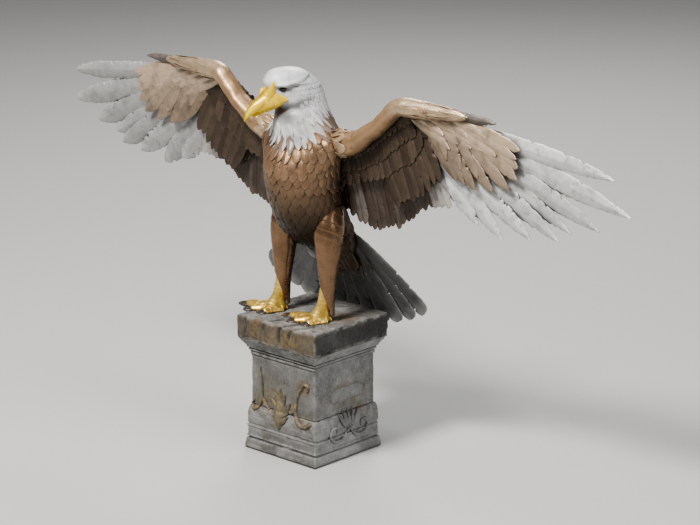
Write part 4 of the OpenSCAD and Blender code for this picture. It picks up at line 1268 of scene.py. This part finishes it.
def coverts(shells, side, back):
    """The rows of coverts over one face of a wing."""
    rng = shells.rng
    toward = 1 if back else -1
    base, drop = (6.0, 10.0) if back else (2.0, 0.0)
    for roots, tips, count, widths, height, tones in COVERT_ROWS:
        stands = height * (0.6 if back else 1.0)
        for i in range(count):
            u = np.clip((i + rng.uniform(-0.12, 0.12)) / (count - 1), 0, 1)
            (x0, z0), (x1, z1) = along(roots, u), along(tips, u)
            root = np.array([x0, base + toward * (stands - 1.6), z0 - drop])
            away = base + toward * stands + 0.05 * max(x1 - 100, 0)
            tip = mix(root, [x1, away, z1], (0.9 if back else 1.0) * rng.uniform(0.95, 1.04))
            wide = mix(*widths, u) * rng.uniform(0.92, 1.1)
            soft = x1 < 104
            blade(shells, on_perch(root, side), on_perch(tip, side), wide, 0.6 if soft else 0.9,
                  (0, toward, 0), 0.6, side * rng.uniform(-0.8, 0.8),
                  -toward * side * rng.uniform(2, 6 if soft else 9), 13, 40,
                  tip_from=0.62 if soft else 0.55, tip_power=0.5 if soft else 0.62,
                  camber=0.6 if soft else 1.0, quill=0.2, slits=4, slit_wide=0.45, ragged=0.07, ripple=0.1,
                  tone=np.clip(mix(*tones, u) + rng.uniform(-0.08, 0.08), 0, 1))


def web(shells, side):
    """The skin of the wing between the arm and the feathers, closing the gaps about the coverts' roots."""
    upper = [[16, 137], [36, 139], [52, 142], [60, 147], [78, 161],
             [91, 169], [107, 171], [128, 171], [148, 170]]
    lower = [[16, 112], [36, 118], [52, 124], [64, 130], [80, 138],
             [94, 146], [107, 150], [128, 152], [152, 158]]
    s, u = np.meshgrid(np.linspace(0, 1, 60), np.linspace(0, 1, 14), indexing="ij")
    spot = mix(along(upper, s), along(lower, s), u[..., None])
    points = np.stack([on_perch(np.stack([spot[..., 0], 0 * u + y, spot[..., 1]], -1), side)
                       for y in (1.2, 4.2)])
    shells.add(points, sheet_faces(60, 14), np.zeros((0, 3), int),
               np.broadcast_to([0, 0.3, 0.0], points.shape).copy())


def hand_feathers(shells, skin):
    """Long slim feathers lying close along the hand, from the wrist to the alula."""
    rng = shells.rng
    for k, angle in enumerate(range(-160, 180, 32)):
        for j in range(3):
            t = 0.62 + 0.1 * j + 0.05 * (k % 2) + rng.uniform(-0.01, 0.01)
            a = radians(angle + rng.uniform(-8, 8))
            end = min(t + rng.uniform(0.17, 0.22), 0.99)
            p, q = skin(np.array(t), np.array(a)), skin(np.array(end), np.array(a))
            n, m = normal_at(skin, np.array(t), np.array(a)), normal_at(skin, np.array(end), np.array(a))
            ends = np.array([t, end])
            outward = skin(ends, np.array([a, a])) - skin(ends, np.array([a, a]) + pi)
            n, m = (v * np.sign(v @ c) for v, c in zip((n, m), outward))
            blade(shells, p - n * 0.7, q + m * 0.5, rng.uniform(6.5, 8), 0.5, unit(n + m), 0.6, nu=9, nv=24,
                  tip_from=0.4, tip_power=0.8, camber=0.5, quill=0.1, slits=1, slit_wide=0.4,
                  tone=rng.uniform(0.75, 1))


for hand, side in (("left", 1), ("right", -1)):
    flight = FLIGHT if side > 0 else SHADED_FLIGHT
    arm = Shells(91)
    limb = limb_surface(ARM_ROWS, [0, 0, 1])
    arm_skin = lambda t, a: on_perch(limb(t, a), side)

    def arm_cast(t, a):
        """The arm's skin: soft lumps and worn feather marks near the shoulder, smooth towards the hand."""
        p = arm_skin(t, a)
        row = t * 34
        shaft = np.abs(np.mod(a * 3.5 / pi + 0.5 * (np.floor(row) % 2), 1) - 0.5) * 2
        marks = 0.12 * smooth(np.mod(-row, 1)) * (1 - 0.6 * shaft ** 2) * smooth((0.5 - t) / 0.2)
        axis = 0.5 * (p + arm_skin(t, a + pi))
        return p + unit(p - axis) * (marks + 0.4 * noise(p, 7.0, 4) + 0.1 * noise(p, 2.6, 5))[..., None]
    # Painted shade: the arm's skin darkens on its underside and towards the shoulder; outwards it turns to
    # the paler hand colour.
    loft(arm, arm_cast, 0, 1, 300, 90, lambda t, a: (
        0 * t, (0.6 - 0.3 * smooth(-np.cos(a) - 0.2)) * (0.6 + 0.4 * smooth(t / 0.3)),
        np.clip((t - 0.5) * 5, 0, 1)))
    plumage(arm, arm_skin, np.linspace(0.08, 0.17, 3), (15, 13), (10, 9), (0.5, 0.0), hang=-1,
            inside=on_perch([32.0, -6.2, 136.4], side), vary=0.2, thick=0.3, tip_from=0.3, tip_power=0.8,
            camber=0.2, quill=0.02, nu=9, nv=14, root_share=0.35)
    hand_feathers(arm, arm_skin)
    arm.make(hand + "_arm_feathers", ARM, "arm_bronze", hand + "_wing_arm")

    for i, (tip, wide) in enumerate(zip(PRIMARY_TIPS, PRIMARY_WIDE)):
        feather = Shells(100 + i + 20 * (side < 0))
        root = mix([140, 4, 161], [108, 4, 134], i / 7)
        pointed = (0.5, 0.75) if side > 0 else (0.66, 0.5)
        blade(feather, on_perch(root, side), on_perch(tip, side), 18 * wide, 1.9,
              (0, -1, 0), -1.5, 0, side * 11, 15, 90, tip_from=pointed[0], tip_power=pointed[1],
              camber=1.4, quill=0.6, quill_at=side * 0.2, slits=7, slit_wide=0.7, ragged=0.1, ripple=0.12)
        feather.make(f"{hand}_primary_vane_{i + 1}", flight, "flight_grey", f"{hand}_primary_{i + 1}")

    long_row = Shells(131)
    for i in range(25):
        u = i / 24
        root, tip = along(SECONDARY_ROOTS, u), along(SECONDARY_TIPS, u)
        tip = mix(root, tip, long_row.rng.uniform(0.94, 1.02)) + [0, 0.5 * (i % 2), 0]
        tone = 0.9 - 0.06 * i if i < 5 else 0.3 if i in (20, 21) else long_row.rng.uniform(0, 0.16)
        blade(long_row, on_perch(root, side), on_perch(tip, side), 9.5, 1.3, (0, -1, 0), -1,
              side * long_row.rng.uniform(-0.8, 0.8), side * 9, 13, 60, tip_from=0.8, tip_power=0.5,
              camber=0.9, quill=0.4, slits=5, slit_wide=0.5, ragged=0.1, ripple=0.12, tone=tone)
    long_row.make(hand + "_secondary_vanes", SECONDARY, "secondary_brown", hand + "_secondaries")

    under = Shells(141)
    coverts(under, side, False)
    web(under, side)
    under.make(hand + "_under_covert_rows", COVERT, "covert_brown", hand + "_under_coverts")
    over = Shells(142)
    coverts(over, side, True)
    over.make(hand + "_upper_covert_rows", COVERT, "covert_brown", hand + "_upper_coverts")

    thumb = Shells(151)
    for root, tip, wide, tone in (([114, -2, 173], [174, -0.5, 170.8], 6.0, 0.35),
                                  ([118, -1, 172], [166, 0.4, 169], 5.4, 0.2)):
        blade(thumb, on_perch(root, side), on_perch(tip, side), wide, 2, (0, -1, 0), 0.5, 0, side * 6, 11, 50,
              tip_from=0.7, tip_power=0.6, camber=0.8, quill=0.5, slits=3, ragged=0.1, tone=tone)
    thumb.make(hand + "_alula_vanes", SECONDARY, "covert_brown", hand + "_alula")

# ---------------------------------------------------------------- carried-over nodes and the floor


def paint(node, material):
    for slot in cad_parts[node].material_slots:
        slot.material = material


for node in ("tie_rod", "tie_rod_nut", "tie_rod_washer", "left_leg_stud", "right_leg_stud",
             "leg_stud_nuts", "leg_stud_washers", "wing_dowels"):
    paint(node, STEEL)
paint("tail_screw", THIGH)
paint("felt_pad", FELT_CLOTH)

mesh = bpy.data.meshes.new("floor")
mesh.from_pydata([(x * 9, y * 9, 0) for x, y in ((-1, -1), (1, -1), (1, 1), (-1, 1))], [], [(0, 1, 2, 3)])
floor = bpy.data.objects.new("floor", mesh)
scene.collection.objects.link(floor)
ground = Graph("pale_floor")
mesh.materials.append(ground.finish(Base_Color=(0.5, 0.5, 0.49), Roughness=0.75))
